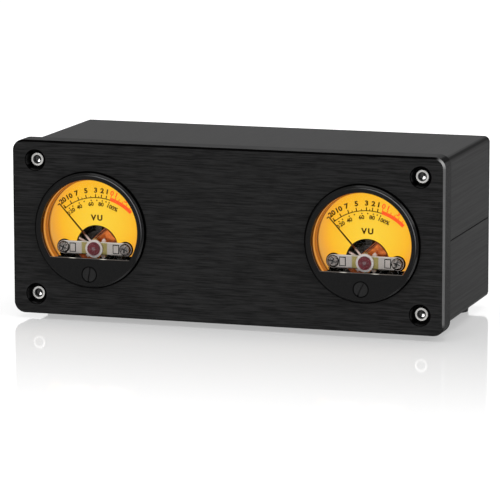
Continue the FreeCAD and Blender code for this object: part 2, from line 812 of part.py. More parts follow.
def bridge(side):
    """Front bridge: an insulating bar with tinned pads and solder tabs at its ends."""
    body = meter_body(side, "bridge", "pivot_rise")
    bar = pad(body, "bridge_depth", "bridge_back",
              lambda sketch: centred_box(sketch, "0", "post_rise", "2 * post_x + bridge_height",
                                         "bridge_height"))
    soften(body, bar, "Fillet", "bridge_height / 2 - bearing_clearance",
           lambda edge: runs_along(edge, Vector(0, 0, 1)))
    pads = [("%d * (pad_inner + post_x) / 2" % sign, "post_rise") for sign in (-1, 1)]
    pad(body, "bridge_depth - pad_thickness", "bridge_depth",
        at_points(pads, lambda sketch, x, y: centred_box(sketch, x, y, "post_x - pad_inner",
                                                         "bridge_height - 2 * pad_thickness")))
    tabs = [("%d * solder_tab_x" % sign, "post_rise") for sign in (-1, 1)]
    pad(body, "bridge_depth - solder_tab_rise", "bridge_depth",
        at_points(tabs, lambda sketch, x, y: centred_box(sketch, x, y, "solder_tab_width",
                                                         "solder_tab_height")))
    pocket(body, "bridge_depth - solder_tab_rise", "bridge_back",
           round_at(post_places(), "bridge_screw_radius + screw_thread_clearance"))
    pocket(body, "bridge_depth", "bridge_back",
           round_at([("0", "0")], "jewel_radius + screw_thread_clearance"))


def at_meters(places):
    """The same places in both meters, counted from the middle of the panel."""
    return [("%s * meter_x + (%s)" % (SIDES[side], x), y)
            for side in SIDES for x, y in places]


def bridge_screws():
    """Pan-head cross-recess screws that hold both bridges on their posts."""
    body = start_body("bridge_screws")
    places = at_meters([(x, "pivot_rise + (%s)" % y) for x, y in post_places()])
    seat = "bridge_depth - pad_thickness"
    top = "%s - bridge_head_height" % seat
    pad(body, top, seat, round_at(places, "bridge_head_radius"))
    pad(body, seat, "bridge_depth + bridge_screw_length", round_at(places, "bridge_screw_radius"))
    for width, height in (("cross_length", "cross_slot"), ("cross_slot", "cross_length")):
        pocket(body, top, "%s + cross_depth" % top,
               at_points(places, lambda sketch, x, y: centred_box(sketch, x, y, width, height)))


def jewel_nuts():
    """Ring nuts that lock the front jewel screws on their bridges."""
    body = start_body("jewel_nuts")
    places = at_meters([("0", "pivot_rise")])
    pad(body, "bridge_depth - jewel_nut_height", "bridge_depth", round_at(places, "jewel_nut_radius"))
    pocket(body, "bridge_depth - jewel_nut_height", "bridge_depth",
           round_at(places, "jewel_radius + screw_thread_clearance"))


def jewel_screws():
    """Front jewel screws, each with a slotted head and a blind bearing for the pivot."""
    body = start_body("jewel_screws")
    places = at_meters([("0", "pivot_rise")])
    seat = "bridge_depth - jewel_nut_height"
    top = "%s - jewel_head_rise" % seat
    pad(body, top, seat, round_at(places, "jewel_head_radius"))
    pad(body, seat, "jewel_back", round_at(places, "jewel_radius"))
    pocket(body, top, "%s + jewel_head_rise / 2" % top,
           at_points(places, lambda sketch, x, y: centred_box(sketch, x, y, "2 * jewel_head_radius",
                                                              "jewel_slot")))
    pocket(body, "jewel_back - jewel_bore_depth", "jewel_back",
           round_at(places, "pivot_radius + bearing_clearance"))


def moving_coil(side):
    """Rectangular coil that turns round the core, with its rear pivot."""
    body = meter_body(side, "moving_coil", "pivot_rise")
    outside = "coil_inside + coil_wire"
    turn = "needle_rest"

    def leg(x):
        return lambda sketch: centred_box(sketch, x, "0", "coil_wire", "coil_width")
    for sign in (-1, 1):
        pad(body, "coil_front", "coil_back",
            leg("%d * (coil_inside + coil_wire / 2)" % sign), turn)
    for front in ("coil_front", "coil_back - coil_wire"):
        pad(body, front, "%s + coil_wire" % front,
            lambda sketch: centred_box(sketch, "0", "0", "2 * (%s)" % outside, "coil_width"), turn)
    pad(body, "coil_back", "frame_front + pivot_length - bearing_clearance",
        round_at([("0", "0")], "pivot_radius"))


def pointer(side):
    """Pointer blade, balance arms and weights on the staff, with the front pivot."""
    body = meter_body(side, "pointer", "pivot_rise")
    turn = "needle_rest"
    blade = [("-needle_root / 2", "0"), ("needle_root / 2", "0"),
             ("needle_tip / 2", "needle_length"), ("-needle_tip / 2", "needle_length")]
    pad(body, "needle_depth", "needle_back", lambda sketch: polygon(sketch, blade), turn)
    pad(body, "needle_depth", "needle_back",
        lambda sketch: centred_box(sketch, "0", "0", "2 * balance_arm", "balance_width"), turn)
    pad(body, "needle_depth", "needle_back",
        lambda sketch: rectangle(sketch, "-balance_width / 2", "balance_width / 2",
                                 "-balance_arm", "0"), turn)
    weights = [("-balance_arm", "0"), ("balance_arm", "0"), ("0", "-balance_arm")]
    pad(body, "needle_depth - needle_thickness", "needle_back + needle_thickness",
        at_points(weights, lambda sketch, x, y: centred_box(sketch, x, y, "balance_weight",
                                                            "balance_weight")), turn)
    pad(body, "spring_front", "coil_front", round_at([("0", "0")], "staff_radius"))
    pad(body, "jewel_back - pivot_length", "spring_front", round_at([("0", "0")], "pivot_radius"))


def zero_lever(side):
    """Lever behind the bridge that the zero screw's pin turns by its fork."""
    body = meter_body(side, "zero_lever", "pivot_rise")
    ring = "jewel_radius + bearing_clearance + lever_ring"
    pad(body, "lever_front", "lever_back", round_at([("0", "0")], ring))
    pad(body, "lever_front", "lever_back",
        lambda sketch: rectangle(sketch, "-lever_arm / 2", "lever_arm / 2",
                                 "fork_rise + fork_length / 2", "0"))
    half = "fork_slot + fork_wall"
    bottom = "fork_rise - fork_length / 2 + zero_pin_offset / 2"
    top = "fork_rise + fork_length / 2 + zero_pin_offset"
    pad(body, "lever_front", "lever_back",
        lambda sketch: rectangle(sketch, minus(half), half, bottom, top))
    pocket(body, "lever_front", "lever_back",
           lambda sketch: rectangle(sketch, "-fork_slot", "fork_slot", bottom,
                                    "%s - fork_wall" % top))
    pocket(body, "lever_front", "lever_back",
           round_at([("0", "0")], "jewel_radius + bearing_clearance"))
    reach = spring_reach()
    pad(body, "lever_front", "lever_back",
        lambda sketch: rectangle(sketch, "-lever_arm / 2", "lever_arm / 2",
                                 "jewel_radius + lever_ring / 2", "%s + spring_stud" % reach))
    pad(body, "lever_back", "spring_back",
        lambda sketch: rectangle(sketch, "-spring_stud / 2", "spring_stud / 2",
                                 "%s + glue_gap" % reach, "%s + spring_stud" % reach))


def spring_reach():
    """Outer radius of the hairspring where it ends, straight above the staff."""
    return "(spring_inner + %d * spring_pitch + spring_strip)" % SPRING_TURNS


def hairspring(side):
    """Flat spiral strip, wound as half turns on two centres half a pitch apart."""
    shift = value("spring_pitch / 2")
    strip = value("spring_strip")
    inner = value("spring_inner")

    def run(offset):
        arcs = []
        for half in range(2 * SPRING_TURNS):
            radius = inner + offset + half * shift
            middle = 0.0 if half % 2 == 0 else shift
            facing = 1 if half % 2 == 0 else -1
            ends = [Vector(0, middle + facing * radius, 0), Vector(0, middle - facing * radius, 0)]
            arcs.append(Part.Arc(ends[0], Vector(-facing * radius, middle, 0), ends[1]).toShape())
        return arcs
    inside, outside = run(0.0), run(strip)
    start = Part.LineSegment(Vector(0, inner, 0), Vector(0, inner + strip, 0)).toShape()
    end_inner = inside[-1].Vertexes[-1].Point
    end_outer = outside[-1].Vertexes[-1].Point
    end = Part.LineSegment(end_inner, end_outer).toShape()
    wire = Part.Wire(Part.__sortEdges__(inside + outside + [start, end]))
    strip_face = Part.Face(wire)
    feature = document.addObject("Part::Feature", "%s_hairspring" % side)
    feature.Label = "%s_hairspring" % side
    feature.Shape = strip_face.extrude(Vector(0, 0, value("spring_height")))
    feature.Placement = Placement(Vector(0, 0, 0), FACING_FRONT)
    tie(feature, "Placement.Base.x", "%s * meter_x" % SIDES[side])
    tie(feature, "Placement.Base.y", "front_y + spring_back")
    tie(feature, "Placement.Base.z", "pivot_z")
    pieces.append(feature)


def zero_screw(side):
    """Slotted zero screw with an eccentric pin that works in the lever's fork."""
    body = meter_body(side, "zero_screw", "zero_rise")
    head_front = "zero_head_sink - cover_proud"
    head_back = "%s + zero_head_height" % head_front
    shank_back = "lever_front - lever_gap"
    pad(body, head_front, head_back, round_at([("0", "0")], "zero_head_radius"))
    pad(body, head_back, shank_back, round_at([("0", "0")], "zero_shank_radius"))
    pad(body, shank_back, "lever_back + lever_gap", round_at([("0", "zero_pin_offset")],
                                                            "zero_pin_radius"))
    pocket(body, head_front, "%s + zero_slot_depth" % head_front,
           lambda sketch: centred_box(sketch, "0", "0", "zero_slot",
                                      "2 * zero_head_radius + zero_slot"), "zero_slot_%s" % side)


def terminal_studs():
    """Threaded terminals that leave through the floors of both housings."""
    body = start_body("terminal_studs")
    places = at_meters(stud_places())
    pad(body, "floor_front - stud_head_height", "floor_front", hexagon_at(places, "stud_head_across"))
    pad(body, "floor_front", "housing_depth + stud_length", round_at(places, "stud_radius"))


def clamp_strap(side):
    """Bent strap that the terminal nuts pull against the back of the panel."""
    body = meter_body(side, "clamp_strap")
    inner = "housing_radius + strap_clearance"
    outer = "%s + strap_thickness" % inner
    foot = "%s + strap_foot" % inner
    half = [(outer, "strap_back"), (outer, "panel_thickness + strap_thickness"),
            (foot, "panel_thickness + strap_thickness"), (foot, "panel_thickness"),
            (inner, "panel_thickness"), (inner, "strap_front")]
    right = [(x, minus(depth)) for x, depth in half]
    left = [(minus(x), y) for x, y in reversed(right)]
    sketch = start_sketch(body, plane="XZ_Plane", lift=minus("stud_rise"))
    polygon(sketch, right + left)
    feature = body.newObject("PartDesign::Pad", body.Name + "_pad")
    feature.Profile = sketch
    feature.SideType = "Symmetric"
    tie(feature, "Length", "strap_width")
    pocket(body, "strap_front", "strap_back",
           round_at(stud_places(), "stud_radius + panel_hole_clearance"))


def terminal_nuts():
    """Hexagon nuts that hold both clamp straps on the terminal studs."""
    body = start_body("terminal_nuts")
    places = at_meters(stud_places())
    pad(body, "strap_back", "strap_back + nut_height", hexagon_at(places, "nut_across"))
    pocket(body, "strap_back", "strap_back + nut_height",
           round_at(places, "stud_radius + screw_thread_clearance"))


def driver_board():
    """Circuit board that slides in the lower shell's rails behind the meters."""
    body = start_body("driver_board")
    pad(body, "board_back - board_length", "board_back",
        lambda sketch: rectangle(sketch, "-board_half", "board_half", "board_bottom", "board_top"))


def board_components():
    """Capacitors, two amplifier chips and the meter lead header on the board."""
    body = start_body("board_components", y="front_y + board_back", z="centre_z + board_top",
                      facing=FACING_UP)
    cans = [("%d * capacitor_pitch" % step, "-board_length / 4") for step in (-3, -2, 2, 3)]
    pad(body, "-capacitor_height", "0", round_at(cans, "capacitor_radius"))
    chips = [("%d * capacitor_pitch" % step, "-board_length / 2") for step in (-1, 1)]
    pad(body, "-chip_height", "0",
        at_points(chips, lambda sketch, x, y: centred_box(sketch, x, y, "chip_length", "chip_width")))
    pad(body, "-header_height", "0",
        lambda sketch: centred_box(sketch, "0", "-board_length + header_width",
                                   "header_length", "header_width"))


def input_jacks():
    """Phono sockets: a hexagonal flange and a barrel outside, a nut and a tail inside."""
    body = start_body("input_jacks", y="rear_y", facing=FACING_REAR)
    places = input_places()
    flange = "-input_flange_height"
    mouth = "%s - input_barrel_length" % flange
    nut_back = "rear_thickness + input_nut_height"
    pad(body, flange, "0", hexagon_at(places, "input_flange_across"))
    pad(body, mouth, flange, round_at(places, "input_barrel_radius"))
    pad(body, "0", "rear_thickness", round_at(places, "input_thread_radius"))
    pocket(body, mouth, "%s + input_socket_depth" % mouth, round_at(places, "input_socket_radius"))
    pad(body, "rear_thickness", nut_back, hexagon_at(places, "input_nut_across"))
    pad(body, nut_back, "%s + input_tail" % nut_back,
        at_points(places, lambda sketch, x, y: centred_box(sketch, x, y, "input_tail_width",
                                                           "input_tail_width / 2")))


def level_pots():
    """Level controls: square bodies inside, threaded bushes and nuts outside."""
    body = start_body("level_pots", y="rear_y", facing=FACING_REAR)
    places = level_places()
    pad(body, "rear_thickness", "rear_thickness + level_body_depth",
        at_points(places, lambda sketch, x, y: centred_box(sketch, x, y, "level_body_width",
                                                           "level_body_width")))
    pad(body, "-level_bush_length", "rear_thickness", round_at(places, "level_bush_radius"))
    pad(body, "-level_nut_height", "0", hexagon_at(places, "level_nut_across"))
    pocket(body, "-level_bush_length", "rear_thickness + level_body_depth / 2",
           round_at(places, "level_shaft_radius + level_fit"))


def level_shaft(side):
    """Plain shaft that turns in the level control's bush."""
    body = start_body("%s_level_shaft" % side, y="rear_y", facing=FACING_REAR,
                      x="level_place + %s * level_pitch / 2" % SIDES[side])
    pad(body, "-level_shaft_length - knob_gap", "rear_thickness + level_body_depth / 2 - knob_gap",
        round_at([("0", "0")], "level_shaft_radius"))


def level_knob(side):
    """Turned knob with a rounded rim, a dished cap and a pointer mark."""
    body = start_body("%s_level_knob" % side, y="rear_y", facing=FACING_REAR,
                      x="level_place + %s * level_pitch / 2" % SIDES[side])
    near = "-level_bush_length - knob_gap"
    far = "%s - knob_length" % near
    blank = pad(body, far, near, round_at([("0", "0")], "knob_radius"))
    soften(body, blank, "Chamfer", "knob_edge",
           lambda edge: min(vertex.Z for vertex in edge.Vertexes) > -value(far) - TOUCHING)
    pocket(body, "-level_shaft_length - 2 * knob_gap", near,
           round_at([("0", "0")], "level_shaft_radius + screw_thread_clearance"))
    pocket(body, far, "%s + knob_mark / 2" % far,
           lambda sketch: rectangle(sketch, "-knob_mark / 2", "knob_mark / 2",
                                    "knob_cap", "knob_radius + knob_mark"))


def power_switch():
    """Body of the rocker switch, with its flange, cavity and pivot holes."""
    body = start_body("power_switch", x="switch_x", y="rear_y", facing=FACING_REAR)
    pad(body, "-switch_flange", "0",
        lambda sketch: centred_box(sketch, "0", "0", "switch_width", "switch_height"))
    pad(body, "0", "switch_depth",
        lambda sketch: centred_box(sketch, "0", "0", "2 * switch_body_half_width",
                                   "2 * switch_body_half_height"))
    pocket(body, "-switch_flange", "switch_cavity_depth",
           lambda sketch: centred_box(sketch, "0", "0", "switch_cavity_width",
                                      "switch_cavity_height"))
    cross_bore(body, "rocker_pin + bearing_clearance",
               "switch_cavity_width + 2 * rocker_pin_length", "Pocket")


def cross_bore(body, radius, length, kind):
    """Makes a round feature across the body at the rocker's pivot."""
    sketch = start_sketch(body, plane="YZ_Plane")
    circle(sketch, "0", "-rocker_pivot_depth", radius)
    feature = body.newObject("PartDesign::" + kind, body.Name + "_pivot")
    feature.Profile = sketch
    if kind == "Pad":
        feature.SideType = "Symmetric"
    else:
        feature.Midplane = True
    tie(feature, "Length", length)


def power_rocker():
    """Rocker with two finger faces, tilted to its off position on its pivot pins."""
    body = start_body("power_rocker", x="switch_x", y="rear_y", facing=FACING_REAR)
    pivot = "-rocker_pivot_depth"

    def tilted(y, z):
        turned_y = "(%s) * cos(rocker_tilt * 1 deg) - (%s) * sin(rocker_tilt * 1 deg)" % (y, z)
        turned_z = "(%s) * sin(rocker_tilt * 1 deg) + (%s) * cos(rocker_tilt * 1 deg)" % (y, z)
        return turned_y, "%s + %s" % (pivot, turned_z)
    outline = [("-rocker_half", "rocker_rise"), ("-rocker_half", "0"),
               ("-rocker_belly / 2", "-rocker_belly"), ("rocker_belly / 2", "-rocker_belly"),
               ("rocker_half", "0"), ("rocker_half", "rocker_rise"), ("0", "rocker_dip")]
    sketch = start_sketch(body, plane="YZ_Plane")
    polygon(sketch, [tilted(y, z) for y, z in outline])
    feature = body.newObject("PartDesign::Pad", body.Name + "_pad")
    feature.Profile = sketch
    feature.SideType = "Symmetric"
    tie(feature, "Length", "switch_cavity_width - 2 * rocker_clearance")
    cross_bore(body, "rocker_pin",
               "switch_cavity_width + 2 * rocker_pin_length - 2 * bearing_clearance", "Pad")


def power_jack():
    """Low-voltage power socket with a hexagonal flange, a bore and a centre pin."""
    body = start_body("power_jack", x="power_x", y="rear_y", facing=FACING_REAR)
    centre = [("0", "0")]
    front = "-power_flange_height"
    pad(body, front, "0", hexagon_at(centre, "power_flange_across"))
    pad(body, "0", "power_body_depth", round_at(centre, "power_body_radius"))
    pocket(body, front, "%s + power_bore_depth" % front, round_at(centre, "power_bore_radius"))
    pad(body, "%s + power_pin_radius" % front, "%s + power_bore_depth" % front,
        round_at(centre, "power_pin_radius"))


METER_PIECES = [meter_cover, meter_lens, light_ring, meter_housing, dial_plate, backlight_board,
                magnet_yoke, core_magnet, movement_frame, bridge, moving_coil, pointer, zero_lever,
                hairspring, zero_screw, clamp_strap]

front_panel()
shell("lower_shell", -1)
shell("upper_shell", 1)
rear_panel()
front_panel_screws()
rear_panel_screws()
feet()
for side in SIDES:
    for make in METER_PIECES:
        make(side)
    level_shaft(side)
    level_knob(side)
bridge_screws()
jewel_nuts()
jewel_screws()
terminal_studs()
terminal_nuts()
driver_board()
board_components()
input_jacks()
level_pots()
power_switch()
power_rocker()
power_jack()
document.recompute()

for item in document.Objects:
    if "Invalid" in item.State or "Error" in item.State:
        raise RuntimeError("%s failed: %s" % (item.Label, item.State))
for piece in pieces:
    if piece.Shape.isNull() or not piece.Shape.isValid():
        raise RuntimeError("%s has no valid solid" % piece.Label)

os.makedirs("parts", exist_ok=True)
for piece in pieces:
    piece.Shape.exportStep("parts/%s.step" % piece.Label)
    print("%-24s %2d solids %10.2f mm3" % (piece.Label, len(piece.Shape.Solids), piece.Shape.Volume))
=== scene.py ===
import math

import bpy
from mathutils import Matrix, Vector


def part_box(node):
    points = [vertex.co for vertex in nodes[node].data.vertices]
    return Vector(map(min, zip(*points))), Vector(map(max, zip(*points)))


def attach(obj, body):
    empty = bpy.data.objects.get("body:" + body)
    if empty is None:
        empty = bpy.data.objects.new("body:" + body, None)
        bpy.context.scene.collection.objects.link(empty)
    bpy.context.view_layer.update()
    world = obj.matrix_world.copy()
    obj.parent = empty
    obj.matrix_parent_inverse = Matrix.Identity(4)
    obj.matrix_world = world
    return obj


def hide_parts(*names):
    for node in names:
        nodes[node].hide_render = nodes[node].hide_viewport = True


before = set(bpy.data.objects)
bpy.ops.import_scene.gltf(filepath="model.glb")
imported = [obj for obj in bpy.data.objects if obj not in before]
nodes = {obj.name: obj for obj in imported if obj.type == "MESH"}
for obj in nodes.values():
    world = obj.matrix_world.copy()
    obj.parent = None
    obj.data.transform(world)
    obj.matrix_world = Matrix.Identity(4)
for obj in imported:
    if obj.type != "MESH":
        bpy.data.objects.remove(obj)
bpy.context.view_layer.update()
bpy.ops.object.select_all(action="DESELECT")

# Case: black anodised aluminium, an extruded upper and lower half brushed along their
# length, with a thick front plate and a rear panel that are brushed from side to side.
# The plates are held by screws that are driven into the ends of the halves.
MM = 0.001
PLATE_BLACK = (0.014, 0.014, 0.0142)
PLATE_GREY = (0.0325, 0.0325, 0.0328)
SHELL_BLACK = (0.012, 0.012, 0.0122)
SHELL_GREY = (0.028, 0.028, 0.0282)
BRUSHED_ACROSS = (120, 900, 2600)
BRUSHED_ALONG = (1400, 18, 1300)
BRUSHED_ROUGH = (0.34, 0.5)
GRAIN_SPREAD = (0.37, 0.63)
PAINTED_EDGE_SHADE = (0.001, 0.001, 0.001)
LIT_EDGE = (0.35, 0.35, 0.35)
LIT_ACROSS = 0.866
LIT_UP = 0.5


def worked_out(tree, operation, first_value, second_value=0.0):
    """The result of a calculation on two numbers or sockets of a node tree."""
    node = tree.nodes.new("ShaderNodeMath")
    node.operation = operation
    for socket, given in zip(node.inputs, (first_value, second_value)):
        if isinstance(given, float):
            socket.default_value = given
        else:
            tree.links.new(given, socket)
    return node.outputs["Value"]


def mapped(tree, value, start, end, low=0.0, high=1.0):
    """A value that runs from low to high while another one runs from start to end."""
    node = tree.nodes.new("ShaderNodeMapRange")
    for socket, number in (("From Min", start), ("From Max", end), ("To Min", low), ("To Max", high)):
        node.inputs[socket].default_value = number
    tree.links.new(value, node.inputs["Value"])
    return node.outputs["Result"]


def tinted(tree, amount, colour, tint):
    """A colour that turns into a tint by an amount."""
    mix = tree.nodes.new("ShaderNodeMix")
    mix.data_type = "RGBA"
    mix.inputs[7].default_value = (*tint, 1)
    tree.links.new(amount, mix.inputs[0])
    tree.links.new(colour, mix.inputs[6])
    return mix.outputs[2]


def new_group(name, inputs, outputs):
    """An empty node group with its sockets, and its input and output nodes."""
    group = bpy.data.node_groups.new(name, "ShaderNodeTree")
    for way, sockets in (("INPUT", inputs), ("OUTPUT", outputs)):
        for socket, kind in sockets.items():
            group.interface.new_socket(socket, in_out=way, socket_type="NodeSocket" + kind)
    return group, group.nodes.new("NodeGroupInput"), group.nodes.new("NodeGroupOutput")


def new_material(name):
    """A fresh material, with its node tree and its main shader."""
    material = bpy.data.materials.new(name)
    material.use_nodes = True
    return material, material.node_tree, material.node_tree.nodes["Principled BSDF"]


def grain_group():
    """Noise that a material stretches its own way, as a mask and a slight relief."""
    group, source, result = new_group("grain", {"Stretch": "Vector", "Relief": "Float"},
                                      {"Mask": "Float", "Normal": "Vector"})
    add, link = group.nodes.new, group.links.new
    place = add("ShaderNodeTexCoord")
    stretch = add("ShaderNodeVectorMath")
    stretch.operation = "MULTIPLY"
    noise = add("ShaderNodeTexNoise")
    noise.inputs["Scale"].default_value = 1.0
    noise.inputs["Detail"].default_value = 4.0
    noise.inputs["Roughness"].default_value = 0.6
    bump = add("ShaderNodeBump")
    bump.inputs["Distance"].default_value = 0.05 * MM
    link(place.outputs["Object"], stretch.inputs[0])
    link(source.outputs["Stretch"], stretch.inputs[1])
    link(stretch.outputs["Vector"], noise.inputs["Vector"])
    link(noise.outputs["Fac"], bump.inputs["Height"])
    link(source.outputs["Relief"], bump.inputs["Strength"])
    link(noise.outputs["Fac"], result.inputs["Mask"])
    link(bump.outputs["Normal"], result.inputs["Normal"])
    return group


GRAIN = grain_group()


def painted_edge_light_group():
    """Paints shade on the upper, left and rounded edges and, by its wall shade, on steep side walls, and
    paints a highlight on the upper right edges.
    """
    group, source, result = new_group("painted_edge_light", {"Color": "Color", "Wall Shade": "Float"},
                                      {"Color": "Color"})
    place = group.nodes.new("ShaderNodeTexCoord")
    parts = group.nodes.new("ShaderNodeSeparateXYZ")
    group.links.new(place.outputs["Normal"], parts.inputs["Vector"])
    x, y, z = (parts.outputs[axis] for axis in "XYZ")
    wall_shade = source.outputs["Wall Shade"]
    forward = worked_out(group, "MULTIPLY", y, -1.0)
    top = worked_out(group, "MULTIPLY", z, forward)
    left = worked_out(group, "MULTIPLY", x, y)
    along = worked_out(group, "ABSOLUTE", worked_out(group, "MULTIPLY", x, z))
    shaded_edge = worked_out(group, "MAXIMUM", worked_out(group, "MAXIMUM", top, left), along)
    steep = mapped(group, worked_out(group, "ABSOLUTE", y), 0.6, 0.3)
    shade = worked_out(group, "MAXIMUM", mapped(group, shaded_edge, 0.4, 0.47),
                       worked_out(group, "MULTIPLY", steep, wall_shade))
    aside = worked_out(group, "ADD", worked_out(group, "MULTIPLY", x, LIT_ACROSS),
                       worked_out(group, "MULTIPLY", z, LIT_UP))
    lit = mapped(group, worked_out(group, "MULTIPLY", aside, forward), 0.28, 0.5)
    metal = worked_out(group, "ADD", worked_out(group, "MULTIPLY", wall_shade, -1.0), 1.0)
    light = worked_out(group, "MULTIPLY", worked_out(group, "POWER", lit, 3.0), metal)
    darkened = tinted(group, shade, source.outputs["Color"], PAINTED_EDGE_SHADE)
    group.links.new(tinted(group, light, darkened, LIT_EDGE), result.inputs["Color"])
    return group


PAINTED_EDGE_LIGHT = painted_edge_light_group()


def finish_of(name, dark, light, stretch, relief=0.2, rough=(0.4, 0.5), wall_shade=None, **sockets):
    """A material whose colour and roughness follow the grain, with plain values on the rest, and with
    painted edge shade and highlights when given a wall shade.
    """
    material, tree, shader = new_material(name)
    add, link = tree.nodes.new, tree.links.new
    grain = add("ShaderNodeGroup")
    grain.node_tree = GRAIN
    grain.inputs["Stretch"].default_value = stretch
    grain.inputs["Relief"].default_value = relief
    ramp = add("ShaderNodeValToRGB")
    for element, position, shade in zip(ramp.color_ramp.elements, GRAIN_SPREAD, (dark, light)):
        element.position = position
        element.color = (*shade, 1)
    colour = ramp.outputs["Color"]
    if wall_shade is not None:
        tone = add("ShaderNodeGroup")
        tone.node_tree = PAINTED_EDGE_LIGHT
        tone.inputs["Wall Shade"].default_value = wall_shade
        link(colour, tone.inputs["Color"])
        colour = tone.outputs["Color"]
    link(grain.outputs["Mask"], ramp.inputs["Fac"])
    link(colour, shader.inputs["Base Color"])
    link(mapped(tree, grain.outputs["Mask"], 0.0, 1.0, *rough), shader.inputs["Roughness"])
    link(grain.outputs["Normal"], shader.inputs["Normal"])
    for socket, number in sockets.items():
        shader.inputs[socket.replace("_", " ")].default_value = number
    return material


def dress(material, *names):
    """Gives CAD nodes a material."""
    for name in names:
        nodes[name].data.materials.clear()
        nodes[name].data.materials.append(material)


def both(name):
    """The left and the right node of a sub-part that each channel has."""
    return ["left_" + name, "right_" + name]


# The plates and the halves carry painted shade on their upper, left and rounded edges and a painted
# highlight on their upper right edges.
plate_finish = finish_of("black_plate", PLATE_BLACK, PLATE_GREY, BRUSHED_ACROSS, 0.25,
                         BRUSHED_ROUGH, 0.0, Specular_IOR_Level=0.004)
shell_finish = finish_of("black_shell", SHELL_BLACK, SHELL_GREY, BRUSHED_ALONG, 0.25,
                         BRUSHED_ROUGH, 0.0, Specular_IOR_Level=0.0095)
dress(plate_finish, "front_panel", "rear_panel")
dress(shell_finish, "upper_shell", "lower_shell")

# Front screws: four nickel-plated socket cap screws, cold headed with a rounded rim, a deep
# hexagon socket with a drill point, and a rolled shank. The socket is painted dark as shade and
# the lower right of each drill point carries a painted glint. They sit in counterbores whose
# black edge is painted shade, and are driven through the plate into the corners of the case.
HEAD_RADIUS = 2.75 * MM
HEAD_HEIGHT = 3.0 * MM
HEAD_ROUNDING = 0.28 * MM
SHANK_RADIUS = 1.5 * MM
SOCKET_RADIUS = 1.5 * MM
SOCKET_DEPTH = 1.7 * MM
SOCKET_MOUTH = 1.8 * MM
MOUTH_DEPTH = 0.35 * MM
POINT_RADIUS = 1.25 * MM
POINT_DEPTH = 0.8 * MM
HAIR = 0.02 * MM
BORE_RADIUS = 4.0 * MM
BORE_EDGE = 0.34 * MM
BORE_EDGE_THICK = 0.04 * MM
FACING_FRONT = (math.radians(90), 0, 0)


def named(name):
    """The active object, under its own name and with its place in its mesh."""
    piece = bpy.context.object
    piece.name = name
    piece.data.name = name
    bpy.ops.object.transform_apply(location=True, rotation=True, scale=True)
    return piece


def only(piece):
    """Selects one piece alone and makes it active."""
    bpy.ops.object.select_all(action="DESELECT")
    piece.select_set(True)
    bpy.context.view_layer.objects.active = piece


def cylinder(name, place, radius, length, sides=48, back_radius=None):
    """A round or tapered piece along the depth of the unit, from its place backwards."""
    bpy.ops.object.select_all(action="DESELECT")
    middle = Vector(place) + Vector((0, length / 2, 0))
    back = radius if back_radius is None else back_radius
    bpy.ops.mesh.primitive_cone_add(vertices=sides, radius1=back, radius2=radius, depth=length,
                                    location=middle, rotation=FACING_FRONT)
    return named(name)


def block(name, place, sizes, turn=0.0):
    """A box about its place, turned clockwise as seen from the front."""
    bpy.ops.object.select_all(action="DESELECT")
    bpy.ops.mesh.primitive_cube_add(size=1.0, location=place, rotation=(0, turn, 0))
    bpy.context.object.scale = sizes
    return named(name)


def edit_faces(piece, test):
    """Selects the faces whose middle and normal pass the test, in edit mode."""
    only(piece)
    for vertex in piece.data.vertices:
        vertex.select = False
    for edge in piece.data.edges:
        edge.select = False
    for face in piece.data.polygons:
        face.select = test(face.center, face.normal)
    bpy.ops.object.mode_set(mode="EDIT")
    bpy.ops.mesh.select_mode(type="FACE")


def done_editing():
    """Goes back to object mode."""
    bpy.ops.object.mode_set(mode="OBJECT")


def apply_bevel(piece, width, segments=3, angle=40):
    """Rounds the sharp edges."""
    only(piece)
    bevel = piece.modifiers.new("rounding", "BEVEL")
    bevel.width = width
    bevel.segments = segments
    bevel.limit_method = "ANGLE"
    bevel.angle_limit = math.radians(angle)
    bpy.ops.object.modifier_apply(modifier="rounding")


def cut(piece, cutter):
    """Takes the cutter's shape out of the piece."""
    only(piece)
    taking = piece.modifiers.new("cut", "BOOLEAN")
    taking.operation = "DIFFERENCE"
    taking.object = cutter
    bpy.ops.object.modifier_apply(modifier="cut")
    only(cutter)
    bpy.ops.object.delete()
    only(piece)


def smooth(piece, angle=35):
    """Shades the rounded faces as one surface and leaves the sharp edges."""
    only(piece)
    bpy.ops.object.shade_smooth_by_angle(angle=math.radians(angle))


def copy_to(piece, name, shift):
    """A copy with its own mesh, moved by a distance."""
    only(piece)
    bpy.ops.object.duplicate(linked=False)
    bpy.context.object.location = shift
    return named(name)


def join(name, pieces):
    """Makes one piece of several."""
    only(pieces[0])
    for piece in pieces:
        piece.select_set(True)
    bpy.ops.object.join()
    return named(name)


def settle(piece, material, body):
    """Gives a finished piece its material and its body."""
    piece.data.materials.clear()
    piece.data.materials.append(material)
    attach(piece, body)


def paint_shade_or_glint(piece, material, test):
    """Gives the faces that pass the test a second material, here painted shade or a painted glint."""
    piece.data.materials.append(material)
    for face in piece.data.polygons:
        if test(face.center, face.normal):
            face.material_index = len(piece.data.materials) - 1


